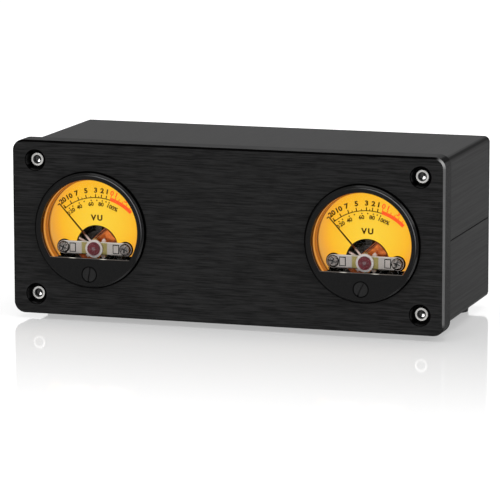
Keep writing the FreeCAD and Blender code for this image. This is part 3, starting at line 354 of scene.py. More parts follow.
screws_low, screws_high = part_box("front_panel_screws")
screw_places = [(side_x, screws_low.y, side_z)
                for side_x in (screws_low.x + HEAD_RADIUS, screws_high.x - HEAD_RADIUS)
                for side_z in (screws_low.z + HEAD_RADIUS, screws_high.z - HEAD_RADIUS)]
first_head = screw_places[0]
screw = cylinder("front_screw", first_head, HEAD_RADIUS, HEAD_HEIGHT)
apply_bevel(screw, HEAD_ROUNDING, 4)
socket_floor = Vector(first_head) + Vector((0, SOCKET_DEPTH, 0))
cut(screw, cylinder("socket_cutter", (first_head[0], first_head[1] - MM, first_head[2]), SOCKET_RADIUS,
                    SOCKET_DEPTH + MM, 6))
cut(screw, cylinder("mouth_cutter", first_head, SOCKET_MOUTH, MOUTH_DEPTH, 36, SOCKET_RADIUS * 0.87))
cut(screw, cylinder("point_cutter", socket_floor - Vector((0, HAIR, 0)), POINT_RADIUS, POINT_DEPTH,
                    24, HAIR))
edit_faces(screw, lambda middle, normal: normal.y > 0.99 and middle.y > first_head[1] + 0.9 * HEAD_HEIGHT)
bpy.ops.mesh.inset(thickness=HEAD_RADIUS - HEAD_ROUNDING - SHANK_RADIUS)
bpy.ops.mesh.extrude_region_move(
    TRANSFORM_OT_translate={"value": (0, screws_high.y - first_head[1] - HEAD_HEIGHT, 0)})
done_editing()
screws = [screw]
for number, place in enumerate(screw_places[1:], start=2):
    screws.append(copy_to(screw, "front_screw_%d" % number, Vector(place) - Vector(first_head)))
front_screws = join("front_screws", screws)
smooth(front_screws)
bright_screw = finish_of("bright_screw", (0.3, 0.3, 0.29), (0.46, 0.45, 0.44), (4000, 4000, 4000),
                         0.2, (0.16, 0.3), Metallic=1.0)
socket_shade = finish_of("socket_shade", (0.012, 0.012, 0.012), (0.06, 0.06, 0.06),
                         (3000, 3000, 3000), 0.3, (0.2, 0.35), Metallic=1.0)
point_glint = finish_of("point_glint", (0.85, 0.85, 0.84), (0.97, 0.97, 0.96),
                           (4000, 4000, 4000), 0.1, (0.1, 0.2), Metallic=1.0)
settle(front_screws, bright_screw, "case")


def from_screw(middle):
    """Where a point is from the axis of its nearest front screw."""
    place = min(screw_places, key=lambda spot: math.hypot(middle.x - spot[0], middle.z - spot[2]))
    return middle.x - place[0], middle.z - place[2]


def in_socket(middle, normal):
    """Whether a face is the mouth, a wall or the floor of a screw's socket, which is painted dark as
    shade.
    """
    inside = math.hypot(*from_screw(middle)) < 0.98 * SOCKET_MOUTH
    return inside and middle.y - first_head[1] > HAIR and normal.y < 0.5


def in_point_glint(middle, normal):
    """Whether a face is on the lower right of a socket's drill point, where a glint is painted."""
    across, up = from_screw(middle)
    return across - up > 0.5 * MM and SOCKET_DEPTH < middle.y - first_head[1] < HEAD_HEIGHT


# The sockets are painted dark as shade, and the lower right of each drill point is a painted glint.
paint_shade_or_glint(front_screws, socket_shade, in_socket)
paint_shade_or_glint(front_screws, point_glint, in_point_glint)
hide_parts("front_panel_screws")


def arc_strip(centre, radius, width, thickness, start, end, steps=40):
    """A flat arc, spun clockwise from a small upright face at its start."""
    turn = math.radians(start)
    place = Vector(centre) + radius * Vector((math.sin(turn), 0, math.cos(turn)))
    bpy.ops.object.select_all(action="DESELECT")
    bpy.ops.mesh.primitive_plane_add(size=1.0, location=place,
                                     rotation=(0, math.radians(start + 90), 0))
    bpy.context.object.scale = (width, thickness, 1)
    piece = named("arc")
    bpy.ops.object.mode_set(mode="EDIT")
    bpy.ops.mesh.select_all(action="SELECT")
    bpy.ops.mesh.spin(steps=steps, angle=math.radians(start - end), center=centre,
                      axis=(0, 1, 0))
    bpy.ops.mesh.select_all(action="SELECT")
    bpy.ops.mesh.remove_doubles(threshold=0.0001 * MM)
    bpy.ops.mesh.normals_make_consistent(inside=False)
    done_editing()
    return piece


plate_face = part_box("front_panel")[0].y
painted_shade_black = finish_of("painted_shade_black", (0.0008, 0.0008, 0.0008), (0.0016, 0.0016, 0.0016),
                       (1500, 1500, 1500), 0.1, (0.7, 0.8), Specular_IOR_Level=0.0)
# Black rings round the counterbores are painted shade in the gap round each head.
bore_shade_rings = [arc_strip((place[0], plate_face, place[2]), BORE_RADIUS + BORE_EDGE / 2, BORE_EDGE,
                        BORE_EDGE_THICK, 0, 360) for place in screw_places]
settle(join("bore_shade_rings", bore_shade_rings), painted_shade_black, "case")

# Rear screws: four blackened steel socket screws with low heads, driven through the rear
# panel into the other ends of the case's halves.
black_screw = finish_of("black_screw", (0.02, 0.02, 0.02), (0.05, 0.05, 0.05),
                        (4000, 4000, 4000), 0.2, (0.3, 0.45), Metallic=1.0)
dress(black_screw, "rear_panel_screws")

# Feet: four round feet moulded from black rubber, with sides that draw in a little, fixed
# under the lower half of the case near its corners.
rubber = finish_of("foot_rubber", (0.008, 0.008, 0.008), (0.02, 0.02, 0.02),
                   (1800, 1800, 1800), 0.5, (0.65, 0.8), Specular_IOR_Level=0.3)
dress(rubber, "feet")

# Meter covers, lenses, housings and zero screws: satin black and clear moulded plastic. The
# cover carries the lens behind its window and the strap behind the panel pulls the housing
# in. The covers' steep walls carry painted shade, thin black rings round the cover and the zero
# screw are painted shade in their gaps, and thin strips on the cover's rim and the lens's
# edges carry painted highlights.
# The covers' and housings' steep walls carry painted shade from the edge light group.
moulding = finish_of("black_moulding", (0.0035, 0.0035, 0.0037), (0.006, 0.006, 0.0062),
                     (1500, 1500, 1500), 0.05, (0.16, 0.22), 1.0, Specular_IOR_Level=0.1)
screw_moulding = finish_of("screw_moulding", (0.007, 0.007, 0.0072), (0.012, 0.012, 0.0122),
                           (1500, 1500, 1500), 0.1, (0.3, 0.4), Specular_IOR_Level=0.15)
dress(moulding, *both("meter_cover"), *both("meter_housing"))
dress(screw_moulding, *both("zero_screw"))


def clear_plastic():
    """Clear moulded plastic that lets the lamps' light through to what is behind it."""
    material, tree, shader = new_material("clear_lens")
    shader.inputs["Roughness"].default_value = 0.01
    shader.inputs["Transmission Weight"].default_value = 1.0
    shader.inputs["IOR"].default_value = 1.1
    through = tree.nodes.new("ShaderNodeBsdfTransparent")
    path = tree.nodes.new("ShaderNodeLightPath")
    mix = tree.nodes.new("ShaderNodeMixShader")
    tree.links.new(path.outputs["Is Shadow Ray"], mix.inputs["Fac"])
    tree.links.new(shader.outputs["BSDF"], mix.inputs[1])
    tree.links.new(through.outputs["BSDF"], mix.inputs[2])
    tree.links.new(mix.outputs["Shader"], tree.nodes["Material Output"].inputs["Surface"])
    return material


dress(clear_plastic(), *both("meter_lens"))
meter_low, meter_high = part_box("right_meter_housing")
METER_X = (meter_low.x + meter_high.x) / 2
METER_Z = (meter_low.z + meter_high.z) / 2
LEFT_X = -METER_X
between_meters = Vector((2 * METER_X, 0, 0))
WINDOW_RADIUS = 20.3 * MM
WINDOW_CHORD = 11.5 * MM
EDGE_WIDTH = 0.2 * MM
GAP_WIDTH = 0.55 * MM
GAP_THICK = 0.05 * MM
GLINT_WIDTH = 0.26 * MM
GLINT_INSET = 1.0 * MM
ZERO_RADIUS = 2.85 * MM
SEAM_WIDTH = 0.38 * MM
SEAM_PROUD = 0.03 * MM
SHINE_REACH = 24 * MM
SHINE_ACROSS = 15.5 * MM
SHINE_RISE = 14.5 * MM
CHORD_REACH = 18 * MM
CHORD_SHIFT = -0.8 * MM
RIM_SHINE = [(0.0, (0.26, 0.26, 0.27)), (0.5, (0.2, 0.2, 0.21)), (0.78, (0.03, 0.03, 0.03)),
             (1.0, (0.005, 0.005, 0.005))]
CHORD_SHINE = [(0.0, (0.11, 0.1, 0.095)), (0.26, (0.13, 0.12, 0.11)), (0.34, (0.9, 0.85, 0.75)),
               (0.4, (0.7, 0.66, 0.6)), (0.46, (0.16, 0.14, 0.12)), (1.0, (0.09, 0.08, 0.075))]


def mirror_pair(piece, name, material, body):
    """Settles the left meter's piece and its copy in the right meter."""
    twin = copy_to(piece, "right_" + name, between_meters)
    piece.name = "left_" + name
    piece.data.name = "left_" + name
    settle(piece, material, body.format("left"))
    settle(twin, material, body.format("right"))
    return piece, twin


def reach_group():
    """How far a point is from the middle line of its own meter, across, up and outwards."""
    group, source, result = new_group("meter_reach", {"Shift Across": "Float", "Height": "Float"},
                                      {"Across": "Float", "Distance": "Float", "Depth": "Float"})
    add, link = group.nodes.new, group.links.new
    place = add("ShaderNodeTexCoord")
    parts = add("ShaderNodeSeparateXYZ")
    link(place.outputs["Object"], parts.inputs["Vector"])
    side = worked_out(group, "SIGN", parts.outputs["X"])
    axis = worked_out(group, "MULTIPLY", side, METER_X)
    across = worked_out(group, "SUBTRACT", parts.outputs["X"], axis)
    shifted = worked_out(group, "SUBTRACT", across, source.outputs["Shift Across"])
    upwards = worked_out(group, "SUBTRACT", parts.outputs["Z"], source.outputs["Height"])
    joined = add("ShaderNodeCombineXYZ")
    length = add("ShaderNodeVectorMath")
    length.operation = "LENGTH"
    link(shifted, joined.inputs["X"])
    link(upwards, joined.inputs["Z"])
    link(joined.outputs["Vector"], length.inputs[0])
    link(shifted, result.inputs["Across"])
    link(length.outputs["Value"], result.inputs["Distance"])
    link(parts.outputs["Y"], result.inputs["Depth"])
    return group


REACH = reach_group()


def banded(name, output, start, end, stops, into, shift=0.0, height=METER_Z, base=None, **sockets):
    """A material with a colour for each distance from its meter's middle line, or each depth."""
    material, tree, shader = new_material(name)
    add, link = tree.nodes.new, tree.links.new
    reach = add("ShaderNodeGroup")
    reach.node_tree = REACH
    reach.inputs["Shift Across"].default_value = shift
    reach.inputs["Height"].default_value = height
    ramp = add("ShaderNodeValToRGB")
    elements = ramp.color_ramp.elements
    for position, _ in stops[2:]:
        elements.new(position)
    for element, (position, colour) in zip(elements, stops):
        element.position = position
        element.color = (*colour, 1)
    value_at = reach.outputs[output]
    if output == "Across":
        value_at = worked_out(tree, "ABSOLUTE", value_at)
    link(mapped(tree, value_at, start, end), ramp.inputs["Fac"])
    link(ramp.outputs["Color"], shader.inputs[into])
    if base is not None:
        shader.inputs["Base Color"].default_value = (*base, 1)
    for socket, number in sockets.items():
        shader.inputs[socket.replace("_", " ")].default_value = number
    return material


lens_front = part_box("left_meter_lens")[0].y
window_end = math.degrees(math.acos(-WINDOW_CHORD / WINDOW_RADIUS))
window_middle = Vector((LEFT_X, lens_front - EDGE_WIDTH / 3, METER_Z))
half_chord = math.sqrt(WINDOW_RADIUS ** 2 - WINDOW_CHORD ** 2)
chord_edge = block("chord_edge", window_middle - Vector((0, 0, WINDOW_CHORD - EDGE_WIDTH / 2)),
                   (2 * half_chord, EDGE_WIDTH, EDGE_WIDTH))
apply_bevel(chord_edge, EDGE_WIDTH / 3, 3)
edges = [chord_edge]
for start, end in ((95, window_end), (-window_end, -95)):
    edges.append(arc_strip(window_middle, WINDOW_RADIUS - EDGE_WIDTH / 3, EDGE_WIDTH / 2,
                           EDGE_WIDTH / 2, start, end, 16))
lens_edge = join("left_lens_edge", edges)
cover_low, cover_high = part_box("left_meter_cover")
gap_middle = Vector((LEFT_X, plate_face, METER_Z))
gap_radius = (cover_high.x - cover_low.x + GAP_WIDTH) / 2
# The black ring round the cover is painted shade in its gap to the plate.
gap = arc_strip(gap_middle, gap_radius, GAP_WIDTH, GAP_THICK, 0, 360, 72)
mirror_pair(gap, "cover_gap_shade", painted_shade_black, "case")
zero_low, zero_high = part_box("left_zero_screw")
seam_middle = Vector((LEFT_X, cover_low.y, (zero_low.z + zero_high.z) / 2))
# The black ring round the zero screw is painted shade in its gap.
seam = arc_strip(seam_middle, ZERO_RADIUS + SEAM_WIDTH / 2, SEAM_WIDTH, 2 * SEAM_PROUD, 0, 360, 48)
mirror_pair(seam, "zero_seam_shade", painted_shade_black, "case")
glint_middle = Vector((LEFT_X, cover_low.y, METER_Z))
glint = arc_strip(glint_middle, cover_high.x - LEFT_X - GLINT_INSET, GLINT_WIDTH,
                  2 * SEAM_PROUD, 0, 360, 72)
# The rim strip is a painted highlight, lightest towards the upper right of the cover.
rim_highlight = banded("rim_highlight", "Distance", 0.0, SHINE_REACH, RIM_SHINE, "Base Color", shift=SHINE_ACROSS,
                  height=METER_Z + SHINE_RISE, Roughness=0.4, Specular_IOR_Level=0.1)
mirror_pair(glint, "rim_highlight", rim_highlight, "case")
# The lens edge strips glow with painted highlights, brightest in spots along the chord.
lens_edge_glint = banded("lens_edge_glint", "Across", 0.0, CHORD_REACH, CHORD_SHINE, "Emission Color",
                       shift=CHORD_SHIFT, base=(0.02, 0.02, 0.02), Roughness=0.3,
                       Specular_IOR_Level=0.1, Emission_Strength=0.9)
mirror_pair(lens_edge, "lens_edge", lens_edge_glint, "case")

# Dials and light rings: translucent card and plastic that glow by emission as painted backlight,
# with no lamp behind them. The card's glow is brightest in its middle, with painted shade
# towards its rim, and the ring carries painted bands of light and shade, one for each of its steps.
DIAL_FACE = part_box("right_dial_plate")[0].y
GLOW_REACH = 22.5 * MM
GLOW_ACROSS = 0.8 * MM
GLOW_RISE = 2.6 * MM
CARD_GLOW = [(0.0, (1.0, 0.67, 0.05)), (0.4, (1.0, 0.6, 0.035)), (0.7, (1.0, 0.5, 0.022)),
             (0.8, (0.95, 0.42, 0.035)), (0.93, (0.78, 0.36, 0.07)), (1.0, (0.4, 0.25, 0.11))]
dial_card = banded("dial_card", "Distance", 0.0, GLOW_REACH, CARD_GLOW, "Emission Color",
                   shift=GLOW_ACROSS, height=METER_Z + GLOW_RISE, base=(0.06, 0.035, 0.005),
                   Roughness=0.6, Specular_IOR_Level=0.05, Emission_Strength=1.15)
ring_low, ring_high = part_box("right_light_ring")
RING_GLOW = [(0.0, (0.05, 0.012, 0.002)), (0.1, (0.25, 0.07, 0.008)), (0.2, (0.95, 0.42, 0.09)),
             (0.32, (0.9, 0.36, 0.06)), (0.44, (0.5, 0.15, 0.015)), (0.56, (0.55, 0.17, 0.02)),
             (0.66, (0.12, 0.03, 0.004)), (0.76, (0.1, 0.025, 0.004)),
             (0.84, (0.7, 0.27, 0.04)), (1.0, (0.9, 0.42, 0.05))]
ring_glow = banded("ring_glow", "Depth", ring_low.y, ring_high.y, RING_GLOW, "Emission Color",
                   base=(0.05, 0.025, 0.004), Roughness=0.5, Specular_IOR_Level=0.05,
                   Emission_Strength=0.9)
dress(dial_card, *both("dial_plate"))
dress(ring_glow, *both("light_ring"))

# Scale: printed on the dial card in black-brown and red ink, an arc with ticks, a wide red
# band, the level numbers outside it and the per cent numbers with their dots inside it.
INK = 0.04 * MM
ARC_RADIUS = 20.6 * MM
ARC_DROP = 8.7 * MM
ARC_WIDTH = 0.34 * MM
TICK_LENGTH = 1.1 * MM
LEVEL_TICK = TICK_LENGTH * 1.25
SMALL_TICK = TICK_LENGTH * 0.6
OVER_TICK = TICK_LENGTH * 1.8
TICK_WIDTH = 0.42 * MM
SMALL_TICK_WIDTH = 0.3 * MM
OVER_TICK_WIDTH = 0.32 * MM
FIGURE_RADIUS = 23.6 * MM
FIGURE_HEIGHT = 1.85 * MM
FIGURE_WEIGHT = 0.12 * MM
FINE_WEIGHT = 0.08 * MM
PERCENT_RADIUS = 18.1 * MM
PERCENT_HEIGHT = 1.5 * MM
DOT_INNER = 19.25 * MM
DOT_SIZE = 0.5 * MM
UNIT_RISE = 3.8 * MM
UNIT_HEIGHT = 2.15 * MM
UNIT_WEIGHT = 0.15 * MM
ARC_START = -40.0
RED_START = 16.4
RED_END = 44.0
RED_RISE = 0.4 * MM
RED_WIDTH = 1.45 * MM
LEVELS = [("20", -37.4, -39.5), ("10", -28.9, -30.7), ("7", -20.8, -21.2), ("5", -10.9, -12.0),
          ("3", -0.7, -0.9), ("2", 6.0, 5.7), ("1", 11.3, 11.4)]
OVER_LEVELS = [("0", 16.4, 16.4), ("1", 21.1, 21.5), ("3", 32.5, 35.0)]
MINUS = -43.0
MINUS_INNER = 23.25 * MM
MINUS_OUTER = 23.7 * MM
MINUS_WIDTH = 1.15 * MM
END_MARK_DROP = 0.2 * MM
END_MARK_RISE = 0.5 * MM
END_MARK_WIDTH = 0.8 * MM
SMALL_TICKS = [-17.0, -6.5, 2.6]
OVER_TICKS = [25.6, 30.2, 40.0]
PERCENT = [("0", -40.6), ("20", -34.3), ("40", -23.6), ("60", -7.4), ("80", 6.1), ("100%", 22.0)]
DOTS = [-36.0, -31.0, -22.0, -15.5, -6.5, 0.5, 7.3, 12.0, 16.0]


def on_dial(radius, angle):
    """A point on the left dial's face, at an angle clockwise from straight up."""
    turn = math.radians(angle)
    return Vector((LEFT_X + radius * math.sin(turn), DIAL_FACE - INK / 2,
                   METER_Z - ARC_DROP + radius * math.cos(turn)))


def ink_bar(angle, inner, outer, width):
    """A printed stroke that points away from the middle of the scale."""
    return block("ink", on_dial((inner + outer) / 2, angle), (width, INK, outer - inner),
                 math.radians(angle))


def ink_words(words, place, height, angle=0.0, weight=0.0, width=1.12, spacing=1.0):
    """Printed figures whose middle stands at their place, turned with the scale."""
    bpy.ops.object.select_all(action="DESELECT")
    bpy.ops.object.text_add()
    text = bpy.context.object
    text.data.body = words
    text.data.size = height / 0.7
    text.data.extrude = INK / 2
    text.data.offset = weight
    text.data.space_character = spacing
    text.data.resolution_u = 3
    bpy.ops.object.convert(target="MESH")
    bpy.ops.object.origin_set(type="ORIGIN_GEOMETRY", center="BOUNDS")
    piece = bpy.context.object
    piece.rotation_euler = (math.radians(90), math.radians(angle), 0)
    piece.scale = (width, 1, 1)
    piece.location = place
    return named("ink")


black_ink = [arc_strip(on_dial(0, 0), ARC_RADIUS, ARC_WIDTH, INK, ARC_START, RED_START)]
for words, angle, tick in LEVELS:
    black_ink.append(ink_bar(tick, ARC_RADIUS, ARC_RADIUS + LEVEL_TICK, TICK_WIDTH))
    black_ink.append(ink_words(words, on_dial(FIGURE_RADIUS, angle), FIGURE_HEIGHT, angle, FIGURE_WEIGHT))
for angle in SMALL_TICKS:
    black_ink.append(ink_bar(angle, ARC_RADIUS, ARC_RADIUS + SMALL_TICK, SMALL_TICK_WIDTH))
for angle in DOTS:
    black_ink.append(ink_bar(angle, DOT_INNER, DOT_INNER + DOT_SIZE, DOT_SIZE))
for words, angle in PERCENT:
    black_ink.append(ink_words(words, on_dial(PERCENT_RADIUS, angle), PERCENT_HEIGHT, angle, FINE_WEIGHT,
                               1.05))
black_ink.append(ink_bar(MINUS, MINUS_INNER, MINUS_OUTER, MINUS_WIDTH))
black_ink.append(ink_bar(LEVELS[0][2], ARC_RADIUS - END_MARK_DROP, ARC_RADIUS + END_MARK_RISE,
                         END_MARK_WIDTH))
black_ink.append(ink_words("VU", Vector((LEFT_X, DIAL_FACE - INK / 2, METER_Z + UNIT_RISE)),
                           UNIT_HEIGHT, 0.0, UNIT_WEIGHT, 1.05, 1.35))
red_ink = [arc_strip(on_dial(0, 0), ARC_RADIUS + RED_RISE, RED_WIDTH, INK, RED_START, RED_END)]
for words, angle, tick in OVER_LEVELS:
    red_ink.append(ink_bar(tick, ARC_RADIUS, ARC_RADIUS + OVER_TICK, OVER_TICK_WIDTH))
    red_ink.append(ink_words(words, on_dial(FIGURE_RADIUS, angle), FIGURE_HEIGHT, angle, FINE_WEIGHT))
for angle in OVER_TICKS:
    red_ink.append(ink_bar(angle, ARC_RADIUS, ARC_RADIUS + OVER_TICK, OVER_TICK_WIDTH))


def ink(name, colour, glow):
    """Translucent ink on the glowing card, whose own glow is painted backlight."""
    material, _, shader = new_material(name)
    shader.inputs["Base Color"].default_value = (*colour, 1)
    shader.inputs["Roughness"].default_value = 0.7
    shader.inputs["Specular IOR Level"].default_value = 0.05
    shader.inputs["Emission Color"].default_value = (*glow, 1)
    shader.inputs["Emission Strength"].default_value = 1.0
    return material


mirror_pair(join("black_scale", black_ink), "black_scale",
            ink("black_ink", (0.02, 0.008, 0.002), (0.06, 0.022, 0.001)), "case")
mirror_pair(join("red_scale", red_ink), "red_scale",
            ink("red_ink", (0.3, 0.02, 0.005), (1.0, 0.12, 0.022)), "case")

# Movement: the blackened yoke, core and cast frame, which stay dark behind the dial's
# cut-out, and the coil of enamelled copper wire that is wound on its frame and turns there.
# The winding glows with painted light, in bands of painted highlight and shade, and the
# gaps between its turns carry painted shade.
soft_iron = finish_of("soft_iron", (0.014, 0.014, 0.015), (0.03, 0.03, 0.032), (900, 900, 900),
                      0.2, (0.35, 0.5), Specular_IOR_Level=0.2)
dress(soft_iron, *both("magnet_yoke"), *both("core_magnet"), *both("movement_frame"))
copper = finish_of("copper_wire", (0.45, 0.09, 0.02), (0.9, 0.27, 0.06), (600, 9000, 600),
                   0.4, (0.25, 0.4), Metallic=1.0)
dress(copper, *both("moving_coil"))
COIL_HALF = 8.1 * MM
COIL_WIDTH = 7.7 * MM
COIL_TURNS = 11
COIL_WALL = 1.3 * MM
NEEDLE_REST = 42.0
CORE_SPACE = 9.0 * MM
WIRE_PROUD = 0.09 * MM
coil_low, coil_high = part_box("right_moving_coil")
pivot_z = (coil_low.z + coil_high.z) / 2
turn_width = COIL_WIDTH / COIL_TURNS
coil_depth = 2 * COIL_WALL + CORE_SPACE
left_pivot = Vector((LEFT_X, 0, pivot_z))
bpy.ops.object.select_all(action="DESELECT")
bpy.ops.mesh.primitive_cube_add(size=1.0)
bpy.context.object.scale = (2 * (COIL_HALF + WIRE_PROUD), coil_depth + 2 * WIRE_PROUD, 0.96 * turn_width)
turn = named("turn")
edit_faces(turn, lambda middle, normal: abs(normal.z) > 0.9)
bpy.ops.mesh.inset(thickness=COIL_WALL * 0.8, use_individual=True)
bpy.ops.mesh.bridge_edge_loops()
done_editing()
apply_bevel(turn, 0.4 * turn_width, 2, 60)
turns = [turn]
for step in range(1, COIL_TURNS):
    turns.append(copy_to(turn, "turn", Vector((0, 0, step * turn_width))))
winding = join("left_coil_winding", turns)
winding.location = (0, 0, -(COIL_TURNS - 1) / 2 * turn_width)
winding = named("left_coil_winding")
winding.rotation_euler = (0, -math.radians(NEEDLE_REST), 0)
winding.location = left_pivot + Vector((0, coil_low.y + coil_depth / 2 + WIRE_PROUD, 0))
winding = named("left_coil_winding")
smooth(winding, 50)
WIRE_LIGHT_AND_SHADE = [(0.0, (0.5, 0.2, 0.07)), (0.36, (0.75, 0.3, 0.06)), (0.52, (0.7, 0.24, 0.045)),
              (0.58, (0.12, 0.025, 0.01)), (0.66, (0.35, 0.08, 0.03)),
              (0.76, (0.75, 0.19, 0.035)), (0.9, (0.6, 0.13, 0.02)), (1.0, (0.25, 0.05, 0.02))]
wire_painted_glow = banded("wire_painted_glow", "Distance", 0.0, 9 * MM, WIRE_LIGHT_AND_SHADE, "Emission Color", height=pivot_z,
                     base=(0.35, 0.1, 0.04), Roughness=0.3, Metallic=0.6, Emission_Strength=0.75)
wire_shade = finish_of("wire_shade", (0.06, 0.012, 0.008), (0.16, 0.035, 0.02), (600, 9000, 600),
                       0.3, (0.35, 0.5), Metallic=0.8)
# The faces between the turns take wire_shade, painted shade in the gaps.
turn_axis = Vector((-math.sin(math.radians(NEEDLE_REST)), 0, math.cos(math.radians(NEEDLE_REST))))
for wound in mirror_pair(winding, "coil_winding", wire_painted_glow, "{}_needle"):
    paint_shade_or_glint(wound, wire_shade, lambda middle, normal: abs(normal.dot(turn_axis)) > 0.3)

# Pointer, lever and hairspring: a blade stamped from thin aluminium, painted dark brown
# beyond the dial's cut-out and bare near the hub. The lever and the spring are satin brass,
# and a short bright arm on the lever holds the outer end of the spring.
POINTER_BANDS = [(0.0, (0.95, 0.88, 0.85)), (0.4, (0.9, 0.74, 0.68)),
                 (0.6, (0.09, 0.02, 0.002)), (1.0, (0.05, 0.012, 0.001))]
pointer_finish = banded("pointer_paint", "Distance", 0.0, 12 * MM, POINTER_BANDS, "Base Color",
                        height=pivot_z, Roughness=0.5, Specular_IOR_Level=0.05)
sprung_brass = finish_of("sprung_brass", (0.55, 0.4, 0.16), (0.75, 0.56, 0.25),
                         (2000, 2000, 2000), 0.1, (0.25, 0.4), Metallic=1.0)
dress(pointer_finish, *both("pointer"))
dress(sprung_brass, *both("zero_lever"), *both("hairspring"))
SPRING_ARM_ANGLE = -62.0
SPRING_ARM_REACH = 5.2 * MM
SPRING_ARM = (5.4 * MM, 0.25 * MM, 0.9 * MM)
lever_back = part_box("left_zero_lever")[1].y
arm_turn = math.radians(SPRING_ARM_ANGLE)
arm_middle = left_pivot + SPRING_ARM_REACH * Vector((math.sin(arm_turn), 0, math.cos(arm_turn)))
arm_middle.y = lever_back - SPRING_ARM[1] / 2
spring_arm = block("left_spring_arm", arm_middle, SPRING_ARM, arm_turn + math.radians(90))
apply_bevel(spring_arm, 0.1 * MM, 2)
arm_finish = finish_of("arm_finish", (0.4, 0.26, 0.2), (0.95, 0.82, 0.76), (500, 500, 500),
                       0.2, (0.3, 0.45), Metallic=0.5)
mirror_pair(spring_arm, "spring_arm", arm_finish, "{}_zero_lever")

# Bridge: a strip of glass board with a tinned tab at each end, held by two dulled cross-recess
# screws. Dark pads behind its ends, dark outlines round the tabs and screws and a line under its
# lower edge are painted shade, and a light line along its top is a painted highlight. The nut
# and the lacquered jewel screw of the front bearing stand in its middle.
BRIDGE_BANDS = [(0.0, (0.36, 0.3, 0.09)), (0.325, (0.36, 0.3, 0.09)),
                (0.345, (0.5, 0.46, 0.43)), (1.0, (0.53, 0.49, 0.46))]
bridge_finish = banded("bridge_board", "Across", 0.0, 16 * MM, BRIDGE_BANDS, "Base Color",
                       Roughness=0.35, Metallic=0.25, Specular_IOR_Level=0.4)
dress(bridge_finish, *both("bridge"))
BRIDGE_HEAD_RADIUS = 2.1 * MM
BRIDGE_HEAD_HEIGHT = 0.7 * MM
BRIDGE_HEAD_ROUNDING = 0.3 * MM
HEAD_FLAT_INSET = 0.55 * MM
CROSS_TURN = 20
CROSS_RECESS = (2.6 * MM, 0.9 * MM, 0.55 * MM)
CROSS_REACH = 1.32 * MM
cross_low, cross_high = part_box("bridge_screws")
right_bridge_low, right_bridge_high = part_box("right_bridge")
outer_screw = cross_high.x - BRIDGE_HEAD_RADIUS - METER_X
cross_z = (cross_low.z + cross_high.z) / 2
cross_places = [Vector((centre + way * outer_screw, cross_low.y, cross_z))
                for centre in (LEFT_X, METER_X) for way in (-1, 1)]
first_cross = cross_places[0]
cross_screw = cylinder("bridge_screw", first_cross, BRIDGE_HEAD_RADIUS, BRIDGE_HEAD_HEIGHT, 36)
edit_faces(cross_screw, lambda middle, normal: normal.y < -0.9)
bpy.ops.mesh.inset(thickness=HEAD_FLAT_INSET)
done_editing()
apply_bevel(cross_screw, BRIDGE_HEAD_ROUNDING, 3)
for turn_angle in (CROSS_TURN, CROSS_TURN + 90):
    cut(cross_screw, block("cross_cutter", first_cross, CROSS_RECESS, math.radians(turn_angle)))
crosses = [cross_screw]
for number, place in enumerate(cross_places[1:], start=2):
    crosses.append(copy_to(cross_screw, "bridge_screw_%d" % number, place - first_cross))
bridge_screws = join("cross_screws", crosses)
smooth(bridge_screws)
dulled_screw = finish_of("dulled_screw", (0.1, 0.09, 0.085), (0.34, 0.31, 0.29),
                         (1300, 1300, 1300), 0.3, (0.2, 0.35), Metallic=1.0)
settle(bridge_screws, dulled_screw, "case")


def in_cross(middle, normal):
    """Whether a face is inside the cross recess of a bridge screw."""
    reach = min(math.hypot(middle.x - place.x, middle.z - place.z) for place in cross_places)
    return reach < CROSS_REACH and middle.y > first_cross.y + 0.05 * MM and normal.y < 0.5


# The cross recesses are painted dark as shade.
paint_shade_or_glint(bridge_screws, socket_shade, in_cross)
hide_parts("bridge_screws")
LUG_X = 9.15 * MM
LUG_OUTLINE = (2.7 * MM, 0.2 * MM, 3.7 * MM)
WASHER_RADIUS = 2.4 * MM
LINE_PROUD = 0.04 * MM
TAB_DEPTH = 0.18 * MM
PAD_RADIUS = 3.15 * MM
PAD_THICK = 0.2 * MM
BEAD_HALF = 12.6 * MM
BEAD = 0.2 * MM
SPOT_RADIUS = 0.75 * MM
SPOT_THICK = 0.3 * MM
pad_face = right_bridge_low.y + TAB_DEPTH
# Painted shade: dark pads behind the bridge's ends, outlines round the tabs and screws, and a line under
# its lower edge.
dark_lines = []
for way in (-1, 1):
    centre = Vector((LEFT_X + way * outer_screw, right_bridge_high.y, cross_z))
    dark_lines.append(cylinder("end_pad_shade", centre, PAD_RADIUS, PAD_THICK, 36))
    centre = Vector((LEFT_X + way * LUG_X, pad_face - LINE_PROUD + LUG_OUTLINE[1] / 2, cross_z))
    dark_lines.append(block("lug_outline", centre, LUG_OUTLINE))
    centre = Vector((LEFT_X + way * outer_screw, pad_face - LINE_PROUD, cross_z))
    dark_lines.append(cylinder("washer_shade_ring", centre, WASHER_RADIUS, PAD_THICK, 36))
under_shadow_line = Vector((LEFT_X, pad_face, right_bridge_low.z + BEAD))
dark_lines.append(block("under_shadow_line", under_shadow_line, (2 * BEAD_HALF, 2 * LINE_PROUD, BEAD)))
mirror_pair(join("pad_shade_lines", dark_lines), "pad_shade_lines", painted_shade_black, "case")
